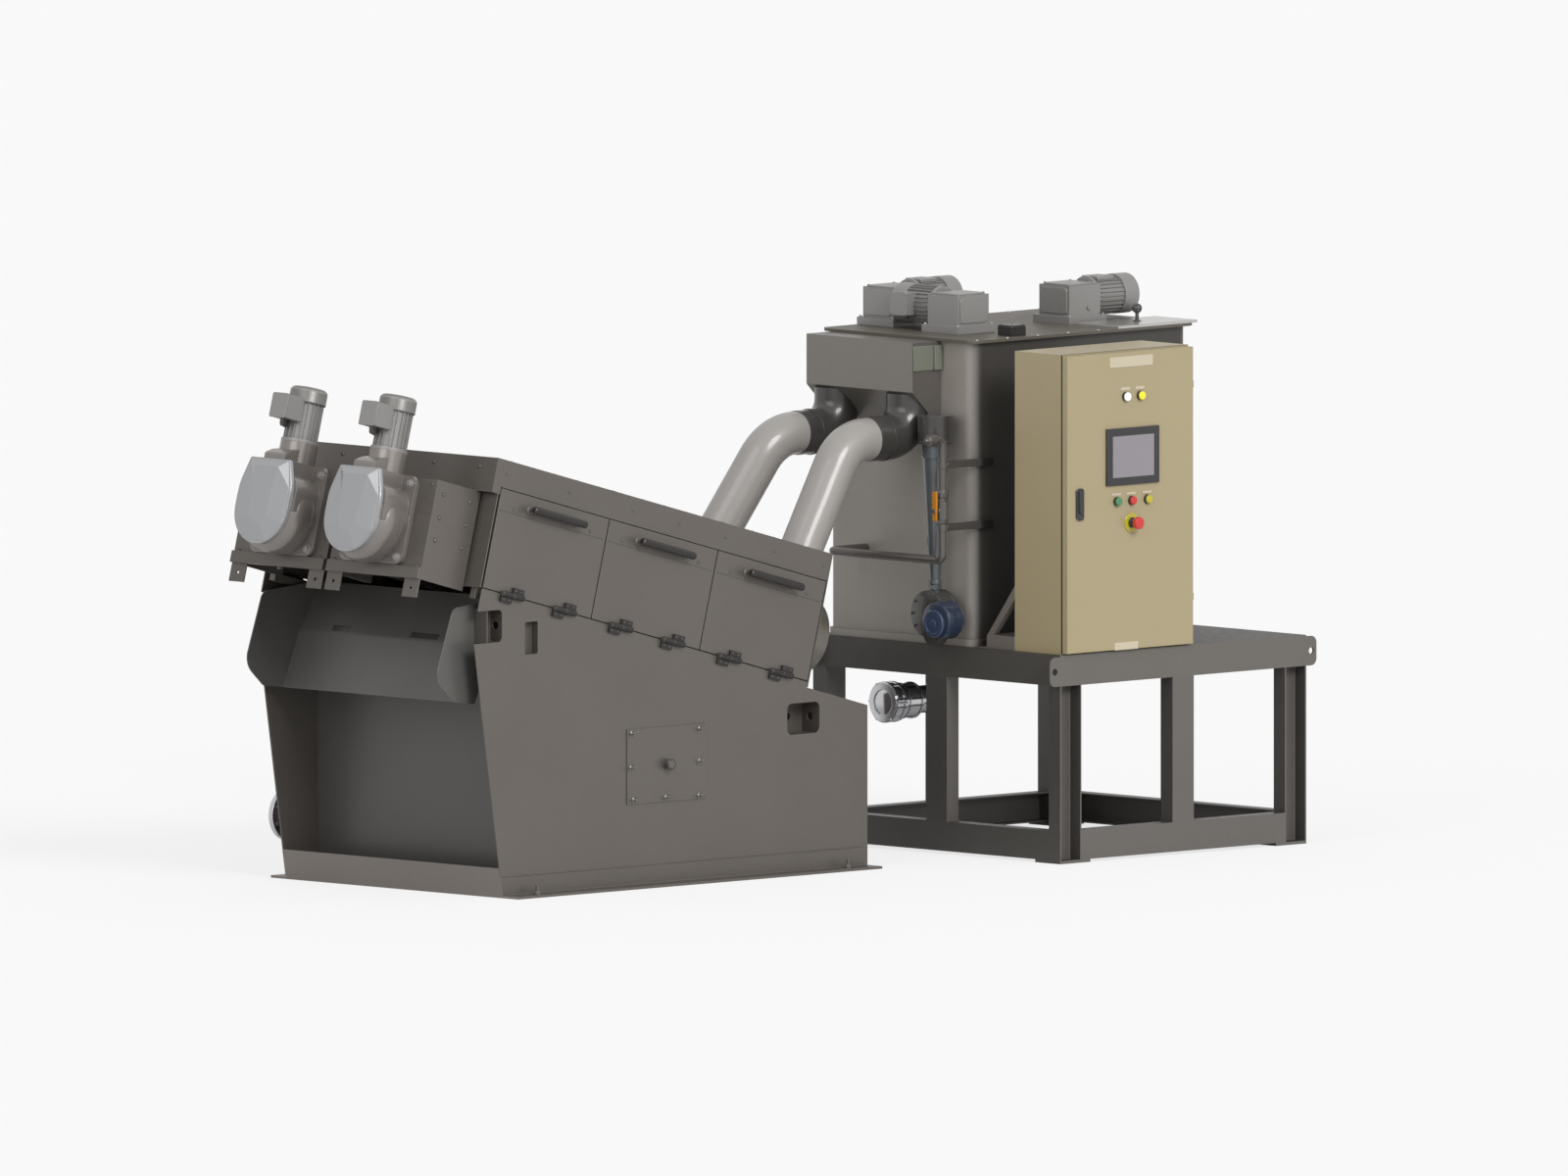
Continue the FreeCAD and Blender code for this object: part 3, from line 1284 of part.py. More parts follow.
def make_stand():
    lower = frame_ring("lower_rail", "base_plate", "channel_depth", "channel_flange")
    top = "deck_height - deck_plate - channel_depth"
    beam_top = "base_plate + channel_depth"
    right = "stand_x + stand_length"
    far = "stand_y + stand_width"
    mid_x = "stand_x + stand_length / 2"
    mid_y = "stand_y + stand_width / 2"
    half = "channel_depth / 2"
    posts = [
        upright("corner_post", "far", "stand_x", "stand_y + channel_flange", "base_plate", top),
        upright("corner_post", "far", right + " - channel_depth", "stand_y + channel_flange", "base_plate", top),
        upright("corner_post", "near", "stand_x + channel_depth", far + " - channel_flange", "base_plate", top),
        upright("corner_post", "near", right, far + " - channel_flange", "base_plate", top),
        upright("middle_post", "near", mid_x + " + " + half, "stand_y", beam_top, top),
        upright("middle_post", "far", mid_x + " - " + half, far, beam_top, top),
        upright("middle_post", "left", "stand_x", mid_y + " - " + half, beam_top, top),
        upright("middle_post", "right", right, mid_y + " + " + half, beam_top, top),
    ]
    feet = []
    for x in ("stand_x", right + " - channel_depth - 50"):
        for y in ("stand_y", far + " - channel_depth - 25"):
            feet.append(box("foot", "channel_depth + 50", "channel_depth + 25", "base_plate", x, y, "0"))
    holes = []
    for x in ("stand_x + channel_depth + 25", right + " - channel_depth - 25"):
        for y in ("stand_y + channel_depth", far + " - channel_depth"):
            holes.append(rod("stand_anchor", "anchor_radius", "base_plate + 20", x, y, "-10"))
    node("stand_legs", cut("legs_weldment", join("legs_parts", lower + posts + feet), holes))
    deck = box("deck_sheet", "stand_length", "stand_width", "deck_plate", "stand_x", "stand_y",
               "deck_height - deck_plate")
    upper = frame_ring("upper_rail", top, "channel_web", "0")
    lugs = []
    holes = []
    middle = top + " + channel_depth / 2"
    for end, out in (("stand_x", "-"), (right, "+")):
        start = "stand_x - lug_reach" if out == "-" else right + " - lug_plate"
        for y in ("stand_y", far + " - lug_plate"):
            lugs.append(place(plate("lug", [lug_outline(out)], "lug_plate"), start, y, top))
        x = "%s %s (lug_reach - lug_corner)" % (end, out)
        holes.append(rod("lug_hole_cut", "lug_hole", "stand_width + 40", x, "stand_y - 20", middle, ALONG_Y))
    node("stand_deck", cut("deck_weldment", join("deck_parts", upper + [deck] + lugs), holes))


make_base()
make_walls()
make_chute()
make_hood()
make_doors()
make_drums()
make_feed()
make_weir()
make_tank()
make_lid()
make_tank_fittings()
make_overflow()
make_water_pipe()
make_coupling()
make_pump()
make_cabinet()
make_bracket()
make_stand()

doc.recompute()
for thing in doc.Objects:
    if "Invalid" in thing.State or "Error" in thing.State:
        raise RuntimeError("failed: %s %s" % (thing.Name, thing.State))
for part in NODES:
    if part.Shape.isNull() or not part.Shape.isValid():
        raise RuntimeError("bad shape: %s" % part.Label)

os.makedirs("parts", exist_ok=True)
for part in NODES:
    part.Shape.exportStep("parts/%s.step" % part.Label)
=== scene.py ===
import json
import math

import bmesh
import bpy
from mathutils import Matrix, Vector
from mathutils.geometry import intersect_line_line


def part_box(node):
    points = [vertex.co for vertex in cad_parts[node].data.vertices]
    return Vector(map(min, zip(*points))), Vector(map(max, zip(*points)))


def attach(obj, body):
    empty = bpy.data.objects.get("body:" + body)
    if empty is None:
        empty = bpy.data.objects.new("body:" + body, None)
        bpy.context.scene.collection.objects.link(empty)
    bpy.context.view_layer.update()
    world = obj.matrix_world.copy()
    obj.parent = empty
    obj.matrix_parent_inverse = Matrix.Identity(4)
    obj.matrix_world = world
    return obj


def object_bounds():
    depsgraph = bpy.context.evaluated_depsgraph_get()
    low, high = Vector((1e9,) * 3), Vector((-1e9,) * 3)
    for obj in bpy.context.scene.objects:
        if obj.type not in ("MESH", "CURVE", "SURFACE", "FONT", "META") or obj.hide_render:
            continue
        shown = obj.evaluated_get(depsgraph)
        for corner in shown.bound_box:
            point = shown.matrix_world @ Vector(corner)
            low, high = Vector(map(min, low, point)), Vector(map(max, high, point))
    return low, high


# Looks of a multi-disc screw press with its flocculation tank stand.
# Metres, in the CAD's frame: +X from the press to the stand, +Y away from the
# cabinet's front, +Z up. A point on the press is given as (u, y, v): along the
# slope, in from the near side, and square to the slope.

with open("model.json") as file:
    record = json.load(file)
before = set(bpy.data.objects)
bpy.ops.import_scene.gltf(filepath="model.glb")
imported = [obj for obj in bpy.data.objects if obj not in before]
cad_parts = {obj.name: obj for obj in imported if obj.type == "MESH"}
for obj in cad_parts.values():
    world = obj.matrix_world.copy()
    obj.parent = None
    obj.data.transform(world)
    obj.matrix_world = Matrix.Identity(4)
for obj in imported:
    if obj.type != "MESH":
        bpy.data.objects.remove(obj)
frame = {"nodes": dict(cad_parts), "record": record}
cad_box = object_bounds()

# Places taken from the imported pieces
PRESS_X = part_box("bay_wall")[0].x - 0.170
PRESS_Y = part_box("bay_wall")[0].y - 0.006
PRESS_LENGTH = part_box("rear_wall")[1].x - PRESS_X
PRESS_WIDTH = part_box("bay_wall")[1].y + 0.006 - PRESS_Y
SLOPE_ANGLE = math.radians(15)
SLOPE = Matrix.Translation((PRESS_X - 0.115, PRESS_Y, 1.245)) @ Matrix.Rotation(SLOPE_ANGLE, 4, "Y")
DOOR_WIDTH = 0.625
DRUM_LINES = {"near": 0.365, "far": 0.875}
DRUM_UP = 0.218
HEAD_FRONT = -0.271
HEAD_WIDTH = 0.525
HEAD_NEAR = {"near": PRESS_WIDTH / 2 - HEAD_WIDTH - 0.010, "far": PRESS_WIDTH / 2 + 0.010}
HOOD_TOP = 0.525
TRAY_TOP = 0.085
HANDLE_HALF = 0.137
HANDLE_OUT = 0.040
HANDLE_RADIUS = 0.013
HANDLE_UP = 0.357
HINGE_SHIFTS = (-0.150, 0.150)
HINGE_LEAF = 0.011
HINGE_OUT = 0.014
HINGE_UP = 0.005
HINGE_RADIUS = 0.011
HINGE_LENGTH = 0.060
RINGS_START = 0.034
RINGS_END = 1.784
COVER_FACE = HEAD_FRONT - 0.170
COVER_UP = DRUM_UP - 0.030
MOTOR_U = -0.298
MOTOR_FOOT = DRUM_UP + 0.258
MOTOR_TOP = DRUM_UP + 0.482
FEED_LEAN = math.radians(30)
ELBOW_RADIUS = 0.090
PUMP_Z = 0.968
COLLAR_LOW = 1.647
VALVE_Z = 1.395
NOZZLE_Z = 1.680
DRAIN_Z = 0.584
DECK_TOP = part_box("stand_deck")[1].z
TANK_LOW_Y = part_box("tank")[0].y + 0.012
CABINET_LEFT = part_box("cabinet_door")[0].x
CABINET_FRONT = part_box("screen")[0].y + 0.008

# Camera, parallel as the photograph is
VIEW_BACK = Vector((-0.6957, -0.7130, 0.0872))
VIEW_TARGET = Vector((0.219, 0.0415, 1.091))
VIEW_WIDTH = 6.25
VIEW_DISTANCE = 22.0


# Node helpers

def new_material(name):
    material = bpy.data.materials.new(name)
    material.use_nodes = True
    return material, material.node_tree.nodes, material.node_tree.links


def noise(nodes, links, scale, detail=4.0, stretch=(1, 1, 1)):
    """Noise in the object's own metres, stretched along its axes."""
    place = nodes.new("ShaderNodeTexCoord")
    mapping = nodes.new("ShaderNodeMapping")
    mapping.inputs["Scale"].default_value = stretch
    texture = nodes.new("ShaderNodeTexNoise")
    texture.inputs["Scale"].default_value = scale
    texture.inputs["Detail"].default_value = detail
    links.new(place.outputs["Object"], mapping.inputs["Vector"])
    links.new(mapping.outputs["Vector"], texture.inputs["Vector"])
    return texture.outputs["Fac"]


def spread(nodes, links, value, low, high):
    """Map noise, which stays near a half, onto a range."""
    ranged = nodes.new("ShaderNodeMapRange")
    ranged.inputs["From Min"].default_value = 0.3
    ranged.inputs["From Max"].default_value = 0.7
    ranged.inputs["To Min"].default_value = low
    ranged.inputs["To Max"].default_value = high
    links.new(value, ranged.inputs["Value"])
    return ranged.outputs["Result"]


def blend(nodes, links, factor, first, second):
    mixed = nodes.new("ShaderNodeMix")
    mixed.data_type = "RGBA"
    mixed.inputs[0].default_value = 0.45
    if factor:
        links.new(factor, mixed.inputs[0])
    for socket, colour in ((mixed.inputs[6], first), (mixed.inputs[7], second)):
        if isinstance(colour, tuple):
            socket.default_value = (*colour, 1)
        else:
            links.new(colour, socket)
    return mixed.outputs[2]


def edges(nodes, links, radius):
    """How near a point is to a sharp edge, from 0 to 1."""
    bevel = nodes.new("ShaderNodeBevel")
    bevel.samples = 4
    bevel.inputs["Radius"].default_value = radius
    plain = nodes.new("ShaderNodeNewGeometry")
    dot = nodes.new("ShaderNodeVectorMath")
    dot.operation = "DOT_PRODUCT"
    links.new(bevel.outputs["Normal"], dot.inputs[0])
    links.new(plain.outputs["Normal"], dot.inputs[1])
    ranged = nodes.new("ShaderNodeMapRange")
    ranged.inputs["From Min"].default_value = 0.995
    ranged.inputs["From Max"].default_value = 0.82
    links.new(dot.outputs["Value"], ranged.inputs["Value"])
    return ranged.outputs["Result"], bevel.outputs["Normal"]


def painted_facing_light(nodes, links, colour, faces):
    """Painted light and shade: scale a colour on faces square to X, Y and Z by their own factors, so whole sides read
    lighter or darker.
    """
    plain = nodes.new("ShaderNodeNewGeometry")
    square = nodes.new("ShaderNodeVectorMath")
    square.operation = "MULTIPLY"
    links.new(plain.outputs["True Normal"], square.inputs[0])
    links.new(plain.outputs["True Normal"], square.inputs[1])
    weigh = nodes.new("ShaderNodeVectorMath")
    weigh.operation = "DOT_PRODUCT"
    weigh.inputs[1].default_value = faces
    links.new(square.outputs[0], weigh.inputs[0])
    scale = nodes.new("ShaderNodeVectorMath")
    scale.operation = "SCALE"
    links.new(colour, scale.inputs[0])
    links.new(weigh.outputs["Value"], scale.inputs["Scale"])
    return scale.outputs[0]


def scaled(colour, factor):
    return tuple(min(1.0, part * factor) for part in colour)


def finish(name, colour, metallic, roughness, change=0.08, grain=(1, 1, 1), grain_scale=60.0, bump=0.04,
           bump_scale=700.0, rub_and_highlight=0.25, edge=0.003, coat=0.0, faces=None):
    """A surface with blotches, fine grain, edges lightened both as rubbed metal and as painted highlight, whole sides
    made lighter or darker as painted light and shade when faces is given, and its own roughness and relief.
    """
    material, nodes, links = new_material(name)
    shader = nodes["Principled BSDF"]
    broad = spread(nodes, links, noise(nodes, links, 2.3, 6), 0, 1)
    body = blend(nodes, links, broad, scaled(colour, 1 - change), scaled(colour, 1 + change))
    fine = spread(nodes, links, noise(nodes, links, grain_scale, 3, grain), 0, 1)
    grained = blend(nodes, links, fine, scaled(colour, 1 - change * 0.8), scaled(colour, 1 + change * 0.8))
    mixed = blend(nodes, links, None, body, grained)
    near_edge, rounded = edges(nodes, links, edge)
    # Edges lightened 2.2 times: partly rubbed metal, partly painted highlight.
    edge_rub_and_highlight = nodes.new("ShaderNodeMath")
    edge_rub_and_highlight.operation = "MULTIPLY"
    edge_rub_and_highlight.inputs[1].default_value = rub_and_highlight
    links.new(near_edge, edge_rub_and_highlight.inputs[0])
    coloured = blend(nodes, links, edge_rub_and_highlight.outputs[0], mixed, scaled(colour, 2.2))
    # Painted light and shade: each side lighter or darker by the way it faces.
    if faces:
        coloured = painted_facing_light(nodes, links, coloured, faces)
    links.new(coloured, shader.inputs["Base Color"])
    shader.inputs["Metallic"].default_value = metallic
    rough = spread(nodes, links, noise(nodes, links, grain_scale * 0.4, 4, grain), roughness * 0.92, roughness * 1.08)
    links.new(rough, shader.inputs["Roughness"])
    relief = nodes.new("ShaderNodeBump")
    relief.inputs["Strength"].default_value = bump
    relief.inputs["Distance"].default_value = 0.001
    links.new(noise(nodes, links, bump_scale, 2), relief.inputs["Height"])
    links.new(rounded, relief.inputs["Normal"])
    links.new(relief.outputs["Normal"], shader.inputs["Normal"])
    if coat:
        shader.inputs["Coat Weight"].default_value = coat
        shader.inputs["Coat Roughness"].default_value = 0.06
    return material


# Materials

def press_metal():
    # Painted shade: faces square to X a little darker, at 0.85.
    return finish("press_metal", (0.147, 0.133, 0.120), 0.55, 0.40, 0.06, (1, 1, 14), 24.0, faces=(0.85, 1.0, 1.0))


def stand_metal():
    # Painted light and shade: faces square to X and tops darker, faces square to Y lighter.
    return finish("stand_metal", (0.125, 0.116, 0.107), 0.4, 0.40, 0.06, (3, 3, 3), 20.0, faces=(0.68, 1.15, 0.45))


def drum_steel():
    return finish("drum_steel", (0.25, 0.235, 0.215), 0.9, 0.30, 0.05, (30, 1, 1), 12.0)


def gear_paint():
    return finish("gear_paint", (0.225, 0.205, 0.190), 0.5, 0.30, 0.03, coat=0.3, rub_and_highlight=0.1)


def motor_paint():
    return finish("motor_paint", (0.255, 0.246, 0.238), 0.25, 0.38, 0.03, rub_and_highlight=0.1, bump=0.02)


def white_plastic():
    return finish("white_plastic", (0.300, 0.285, 0.270), 0.0, 0.36, 0.015, rub_and_highlight=0.0, coat=0.35, bump=0.01)


def dark_plastic():
    return finish("dark_plastic", (0.046, 0.044, 0.041), 0.1, 0.30, 0.05, coat=0.3, rub_and_highlight=0.1)


def lid_steel():
    return finish("lid_steel", (0.55, 0.54, 0.52), 0.7, 0.22, 0.05, (1, 20, 1), 20.0)


def water_steel():
    return finish("water_steel", (0.125, 0.115, 0.107), 0.5, 0.24, 0.03, rub_and_highlight=0.1, bump=0.01)


def lever_paint():
    return finish("lever_paint", (0.50, 0.19, 0.008), 0.1, 0.35, 0.06)


def coupling_chrome():
    return finish("coupling_chrome", (0.62, 0.62, 0.64), 1.0, 0.10, 0.03, rub_and_highlight=0.0)


def cabinet_paint():
    return finish("cabinet_paint", (0.365, 0.305, 0.180), 0.05, 0.38, 0.025, bump=0.10, bump_scale=420.0, rub_and_highlight=0.10)


def bracket_paint():
    return finish("bracket_paint", (0.20, 0.175, 0.155), 0.3, 0.40, 0.05)


def screen_plastic():
    return finish("screen_plastic", (0.030, 0.030, 0.032), 0.0, 0.35, 0.06)


MATERIALS = {make.__name__: make() for make in (
    press_metal, stand_metal, drum_steel, gear_paint, motor_paint, white_plastic, dark_plastic, lid_steel,
    water_steel, lever_paint, coupling_chrome, cabinet_paint, bracket_paint, screen_plastic)}


def glossy(name, colour, roughness, glow=0.0):
    """Small moulded or lacquered part in one clear colour."""
    material = finish(name, colour, 0.0, roughness, 0.03, rub_and_highlight=0.0, coat=0.6, bump=0.01)
    shader = material.node_tree.nodes["Principled BSDF"]
    shader.inputs["Emission Color"].default_value = (*colour, 1)
    shader.inputs["Emission Strength"].default_value = glow
    return material


LAMP_WHITE = glossy("lamp_white", (0.85, 0.85, 0.83), 0.2, 0.35)
LAMP_YELLOW = glossy("lamp_yellow", (0.80, 0.70, 0.02), 0.25, 0.10)
BUTTON_GREEN = glossy("button_green", (0.05, 0.22, 0.09), 0.3)
BUTTON_AMBER = glossy("button_amber", (0.46, 0.40, 0.02), 0.3)
BUTTON_RED = glossy("button_red", (0.55, 0.02, 0.015), 0.3)
PLATE_PALE = glossy("plate_pale", (0.52, 0.46, 0.33), 0.35)
DISPLAY = glossy("display_glass", (0.235, 0.220, 0.240), 0.12)
GEAR_COVER = finish("gear_cover", (0.33, 0.335, 0.345), 0.35, 0.22, 0.02, rub_and_highlight=0.1, coat=0.3, bump=0.01)
OVERFLOW = glossy("overflow_gloss", (0.070, 0.078, 0.085), 0.22)
JUNCTION = glossy("junction_grey", (0.155, 0.165, 0.130), 0.40)
SLEEVE = finish("handle_sleeve", (0.016, 0.014, 0.013), 0.0, 0.32, 0.03, rub_and_highlight=0.0, bump=0.01)
# Painted reflection and shade: faces square to X 2.3 times lighter, faces square to Y and tops darker.
TANK_METAL = finish("tank_metal", (0.145, 0.133, 0.121), 0.30, 0.45, 0.05, (3, 3, 3), 20.0, faces=(2.3, 0.40, 0.45))
COVER_METAL = finish("cover_metal", (0.100, 0.088, 0.070), 0.15, 0.50, 0.05, (3, 3, 3), 20.0)
# Painted light: faces square to X 1.45 times lighter.
WEIR_METAL = finish("weir_metal", (0.145, 0.133, 0.121), 0.45, 0.36, 0.05, (3, 3, 3), 20.0, faces=(1.45, 1.0, 1.0))
# Painted light and shade: tops and faces square to X darker, faces square to Y lighter.
DECK_METAL = finish("deck_metal", (0.125, 0.115, 0.102), 0.25, 0.48, 0.06, (3, 3, 3), 20.0, faces=(0.6, 1.1, 0.36))
# Painted light: faces square to X 1.45 times lighter.
BASE_METAL = finish("base_metal", (0.147, 0.133, 0.120), 0.55, 0.40, 0.06, (1, 1, 14), 24.0, faces=(1.45, 1.0, 1.0))
# Painted shade: a darker copy of the press metal for the recessed bay's walls.
BAY_METAL = finish("bay_metal", (0.098, 0.095, 0.092), 0.45, 0.38, 0.06, (1, 14, 14), 24.0)
# Painted light: a lighter copy of the bay metal, lifting the shade the drum heads cast on the chute.
CHUTE_METAL = finish("chute_metal", (0.118, 0.115, 0.108), 0.40, 0.42, 0.06, (1, 14, 14), 24.0)
# Finishes given part by part; those for the tank, weir box, deck, base, bay wall and chute carry painted light and
# shade.
OWN_FINISH = {"overflow_pipe": OVERFLOW, "tank": TANK_METAL, "tank_cover": COVER_METAL, "weir_box": WEIR_METAL,
              "stand_deck": DECK_METAL, "press_base": BASE_METAL, "bay_wall": BAY_METAL, "discharge_chute": CHUTE_METAL}
FAN_PAINT = finish("fan_paint", (0.185, 0.178, 0.170), 0.25, 0.38, 0.03, rub_and_highlight=0.1, bump=0.02)
BLUE = glossy("pump_blue", (0.014, 0.024, 0.050), 0.38)
PUMP_END = glossy("pump_end_blue", (0.026, 0.044, 0.095), 0.38)


def dress_nodes():
    """Give each CAD node the finish of its own slot, or the finish OWN_FINISH lists for its part, several of which
    carry painted light and shade.
    """
    for entry in frame["record"]["subparts"]:
        node = frame["nodes"][entry["node"]]
        for slot in node.material_slots:
            slot.material = OWN_FINISH.get(entry["node"], MATERIALS[entry["material_slot"]])


# Shapes

class Shape:
    """A mesh gathered from simple forms, each placed in one frame, in metres."""

    def __init__(self, place=Matrix()):
        self.mesh = bmesh.new()
        self.place = place

    def corner(self, point):
        return self.mesh.verts.new(self.place @ Vector(point))

    def skin(self, rings):
        """Close rings of corners into a solid."""
        for below, above in zip(rings, rings[1:]):
            for i in range(len(below)):
                j = (i + 1) % len(below)
                self.mesh.faces.new((below[i], below[j], above[j], above[i]))
        self.mesh.faces.new(rings[0][::-1])
        self.mesh.faces.new(rings[-1])

    def box(self, low, high):
        square = ((low[0], low[1]), (high[0], low[1]), (high[0], high[1]), (low[0], high[1]))
        self.skin([[self.corner((x, y, z)) for x, y in square] for z in (low[2], high[2])])

    def turned(self, origin, axis, profile, sides=32):
        """A solid of revolution from (distance along the axis, radius) pairs."""
        base = Matrix.Translation(origin) @ Vector(axis).to_track_quat("Z", "Y").to_matrix().to_4x4()
        rings = []
        for along, radius in profile:
            turns = [math.tau * i / sides for i in range(sides)]
            rings.append([self.corner(base @ Vector((radius * math.cos(t), radius * math.sin(t), along))) for t in turns])
        self.skin(rings)

    def rod(self, origin, axis, radius, length, sides=32, chamfer=0.0):
        if not chamfer:
            return self.turned(origin, axis, ((0, radius), (length, radius)), sides)
        self.turned(origin, axis, ((0, radius - chamfer), (chamfer, radius), (length - chamfer, radius),
                                   (length, radius - chamfer)), sides)

    def bolt(self, origin, axis, radius):
        """Washer and hexagon head, seated a little into the surface."""
        sunk = Vector(origin) - Vector(axis).normalized() * 0.0005
        self.rod(sunk, axis, radius * 1.45, radius * 0.35, 20)
        head = radius * 1.25
        self.turned(sunk, axis, ((0, radius), (head * 0.85, radius), (head, radius * 0.86)), 6)

    def screw(self, origin, axis, radius):
        """Low domed head with a small socket rim."""
        sunk = Vector(origin) - Vector(axis).normalized() * 0.0005
        self.turned(sunk, axis, ((0, radius), (radius * 0.35, radius * 0.92), (radius * 0.6, radius * 0.65),
                                 (radius * 0.68, radius * 0.35), (radius * 0.45, radius * 0.3)), 16)

    def tube(self, points, radius, sides=12):
        points = [Vector(point) for point in points]
        rings = []
        up = None
        for i, point in enumerate(points):
            ahead = (points[min(i + 1, len(points) - 1)] - points[max(i - 1, 0)]).normalized()
            up = (up - ahead * up.dot(ahead)).normalized() if up else ahead.orthogonal().normalized()
            aside = ahead.cross(up)
            turns = [math.tau * k / sides for k in range(sides)]
            rings.append([self.corner(point + (up * math.cos(t) + aside * math.sin(t)) * radius) for t in turns])
        self.skin(rings)

    def plate(self, outline, start, thick, right, up):
        """A flat plate from an outline of (right, up) pairs, thick along right x up."""
        right = Vector(right)
        up = Vector(up)
        through = right.cross(up) * thick
        flat = [Vector(start) + right * a + up * b for a, b in outline]
        self.skin([[self.corner(point) for point in flat], [self.corner(point + through) for point in flat]])


def add(name, shape, slot, body="plant", bevel=0.0012, material=None):
    """Make the gathered shape a piece of the scene on its body."""
    bmesh.ops.recalc_face_normals(shape.mesh, faces=shape.mesh.faces)
    mesh = bpy.data.meshes.new(name)
    shape.mesh.to_mesh(mesh)
    shape.mesh.free()
    mesh.shade_smooth()
    mesh.set_sharp_from_angle(angle=math.radians(35))
    mesh.materials.append(material or MATERIALS[slot])
    piece = bpy.data.objects.new(name, mesh)
    bpy.context.scene.collection.objects.link(piece)
    if bevel:
        rounding = piece.modifiers.new("rounding", "BEVEL")
        rounding.width = bevel
        rounding.segments = 2
        rounding.angle_limit = math.radians(50)
        rounding.use_clamp_overlap = True
    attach(piece, body)
    return piece


def rounded(width, height, radius, steps=5):
    """Outline of a rounded rectangle about its own middle."""
    outline = []
    for turn, x, y in ((0, 1, 1), (90, -1, 1), (180, -1, -1), (270, 1, -1)):
        for i in range(steps + 1):
            angle = math.radians(turn + 90 * i / steps)
            outline.append((x * (width / 2 - radius) + radius * math.cos(angle),
                            y * (height / 2 - radius) + radius * math.sin(angle)))
    return outline


SIDES = {"near": -1, "far": 1}


def wall_y(side, out):
    """Distance in from the near wall of a point that stands out of one side wall."""
    return -out if side == "near" else PRESS_WIDTH + out


# Press

SEAM_DASHES = 42


def door_details():
    """Latches, handle sockets and screws of the six doors, and the hinge leaves' screws."""
    for side, sign in SIDES.items():
        out = (0, sign, 0)
        wall_screws = Shape(SLOPE)
        for index, part in enumerate(("front", "middle", "rear")):
            start = index * DOOR_WIDTH
            body = "%s_door_%s" % (side, part)
            middle = start + DOOR_WIDTH / 2
            fittings = Shape(SLOPE)
            for u in (start + 0.09, start + DOOR_WIDTH - 0.095):
                fittings.screw((u, wall_y(side, 0), 0.343), out, 0.007)
            for shift in (-HANDLE_HALF, HANDLE_HALF):
                u = middle + shift
                fittings.turned((u, wall_y(side, 0), HANDLE_UP), out,
                                ((-0.0005, 0.017), (0.003, 0.017), (0.005, 0.012), (0.009, 0.0095)), 24)
            for shift in HINGE_SHIFTS:
                for step in (0.014, 0.046):
                    fittings.screw((middle + shift + step, wall_y(side, HINGE_LEAF), 0.028), out, 0.0045)
                    wall_screws.screw((middle + shift - step, wall_y(side, HINGE_LEAF), -0.016), out, 0.0045)
            add(body + "_fittings", fittings, "stand_metal", body, 0)
            door_sleeves(side, body, middle)
            face = wall_y(side, 0)
            seam = Shape(SLOPE)
            for step in range(SEAM_DASHES):
                u = start + 0.014 + step * (DOOR_WIDTH - 0.028) / SEAM_DASHES
                seam.box((u, min(face, face + sign * 0.0008), 0.3243), (u + 0.009, max(face, face + sign * 0.0008), 0.3264))
            add(body + "_seam", seam, "dark_plastic", body, 0)
        for u in (0.017, 0.375, 0.743, 1.010, 1.276, 1.560, 1.843):
            wall_screws.screw((u, wall_y(side, 0), 0.470), out, 0.006)
        add(side + "_fixings", wall_screws, "stand_metal", bevel=0)


def door_sleeves(side, body, middle):
    """Dark sleeves on a door's handle and on its hinge knuckles, and caps on the wall's knuckles."""
    bar = Shape(SLOPE)
    length = 2 * (HANDLE_HALF + HANDLE_RADIUS)
    near = HANDLE_RADIUS - 0.003
    full = HANDLE_RADIUS + 0.0022
    bar.turned((middle - length / 2 - 0.0005, wall_y(side, HANDLE_OUT), HANDLE_UP), (1, 0, 0),
               ((-0.002, near), (0.005, full), (length - 0.004, full), (length + 0.003, near)), 32)
    add(body + "_sleeve", bar, "dark_plastic", body, 0, SLEEVE)
    knuckles = Shape(SLOPE)
    fixed = Shape(SLOPE)
    for shift in HINGE_SHIFTS:
        u = middle + shift
        near = HINGE_RADIUS - 0.002
        full = HINGE_RADIUS + 0.0012
        profile = ((0, near), (0.002, full), (HINGE_LENGTH - 0.003, full), (HINGE_LENGTH - 0.001, near))
        leaf = sorted((wall_y(side, -0.002), wall_y(side, HINGE_LEAF + 0.0004)))
        knuckles.box((u + 0.0002, leaf[0], HINGE_UP + 0.0035), (u + HINGE_LENGTH + 0.0008, leaf[1], HINGE_UP + 0.0335))
        fixed.box((u - HINGE_LENGTH - 0.0008, leaf[0], HINGE_UP - 0.0335), (u - 0.0002, leaf[1], HINGE_UP - 0.0035))
        knuckles.turned((u + 0.0008, wall_y(side, HINGE_OUT), HINGE_UP), (1, 0, 0), profile, 28)
        fixed.turned((u - 0.0008, wall_y(side, HINGE_OUT), HINGE_UP), (-1, 0, 0), profile, 28)
    add(body + "_knuckles", knuckles, "dark_plastic", body, 0, SLEEVE)
    add(body + "_fixed_knuckles", fixed, "dark_plastic", bevel=0, material=SLEEVE)


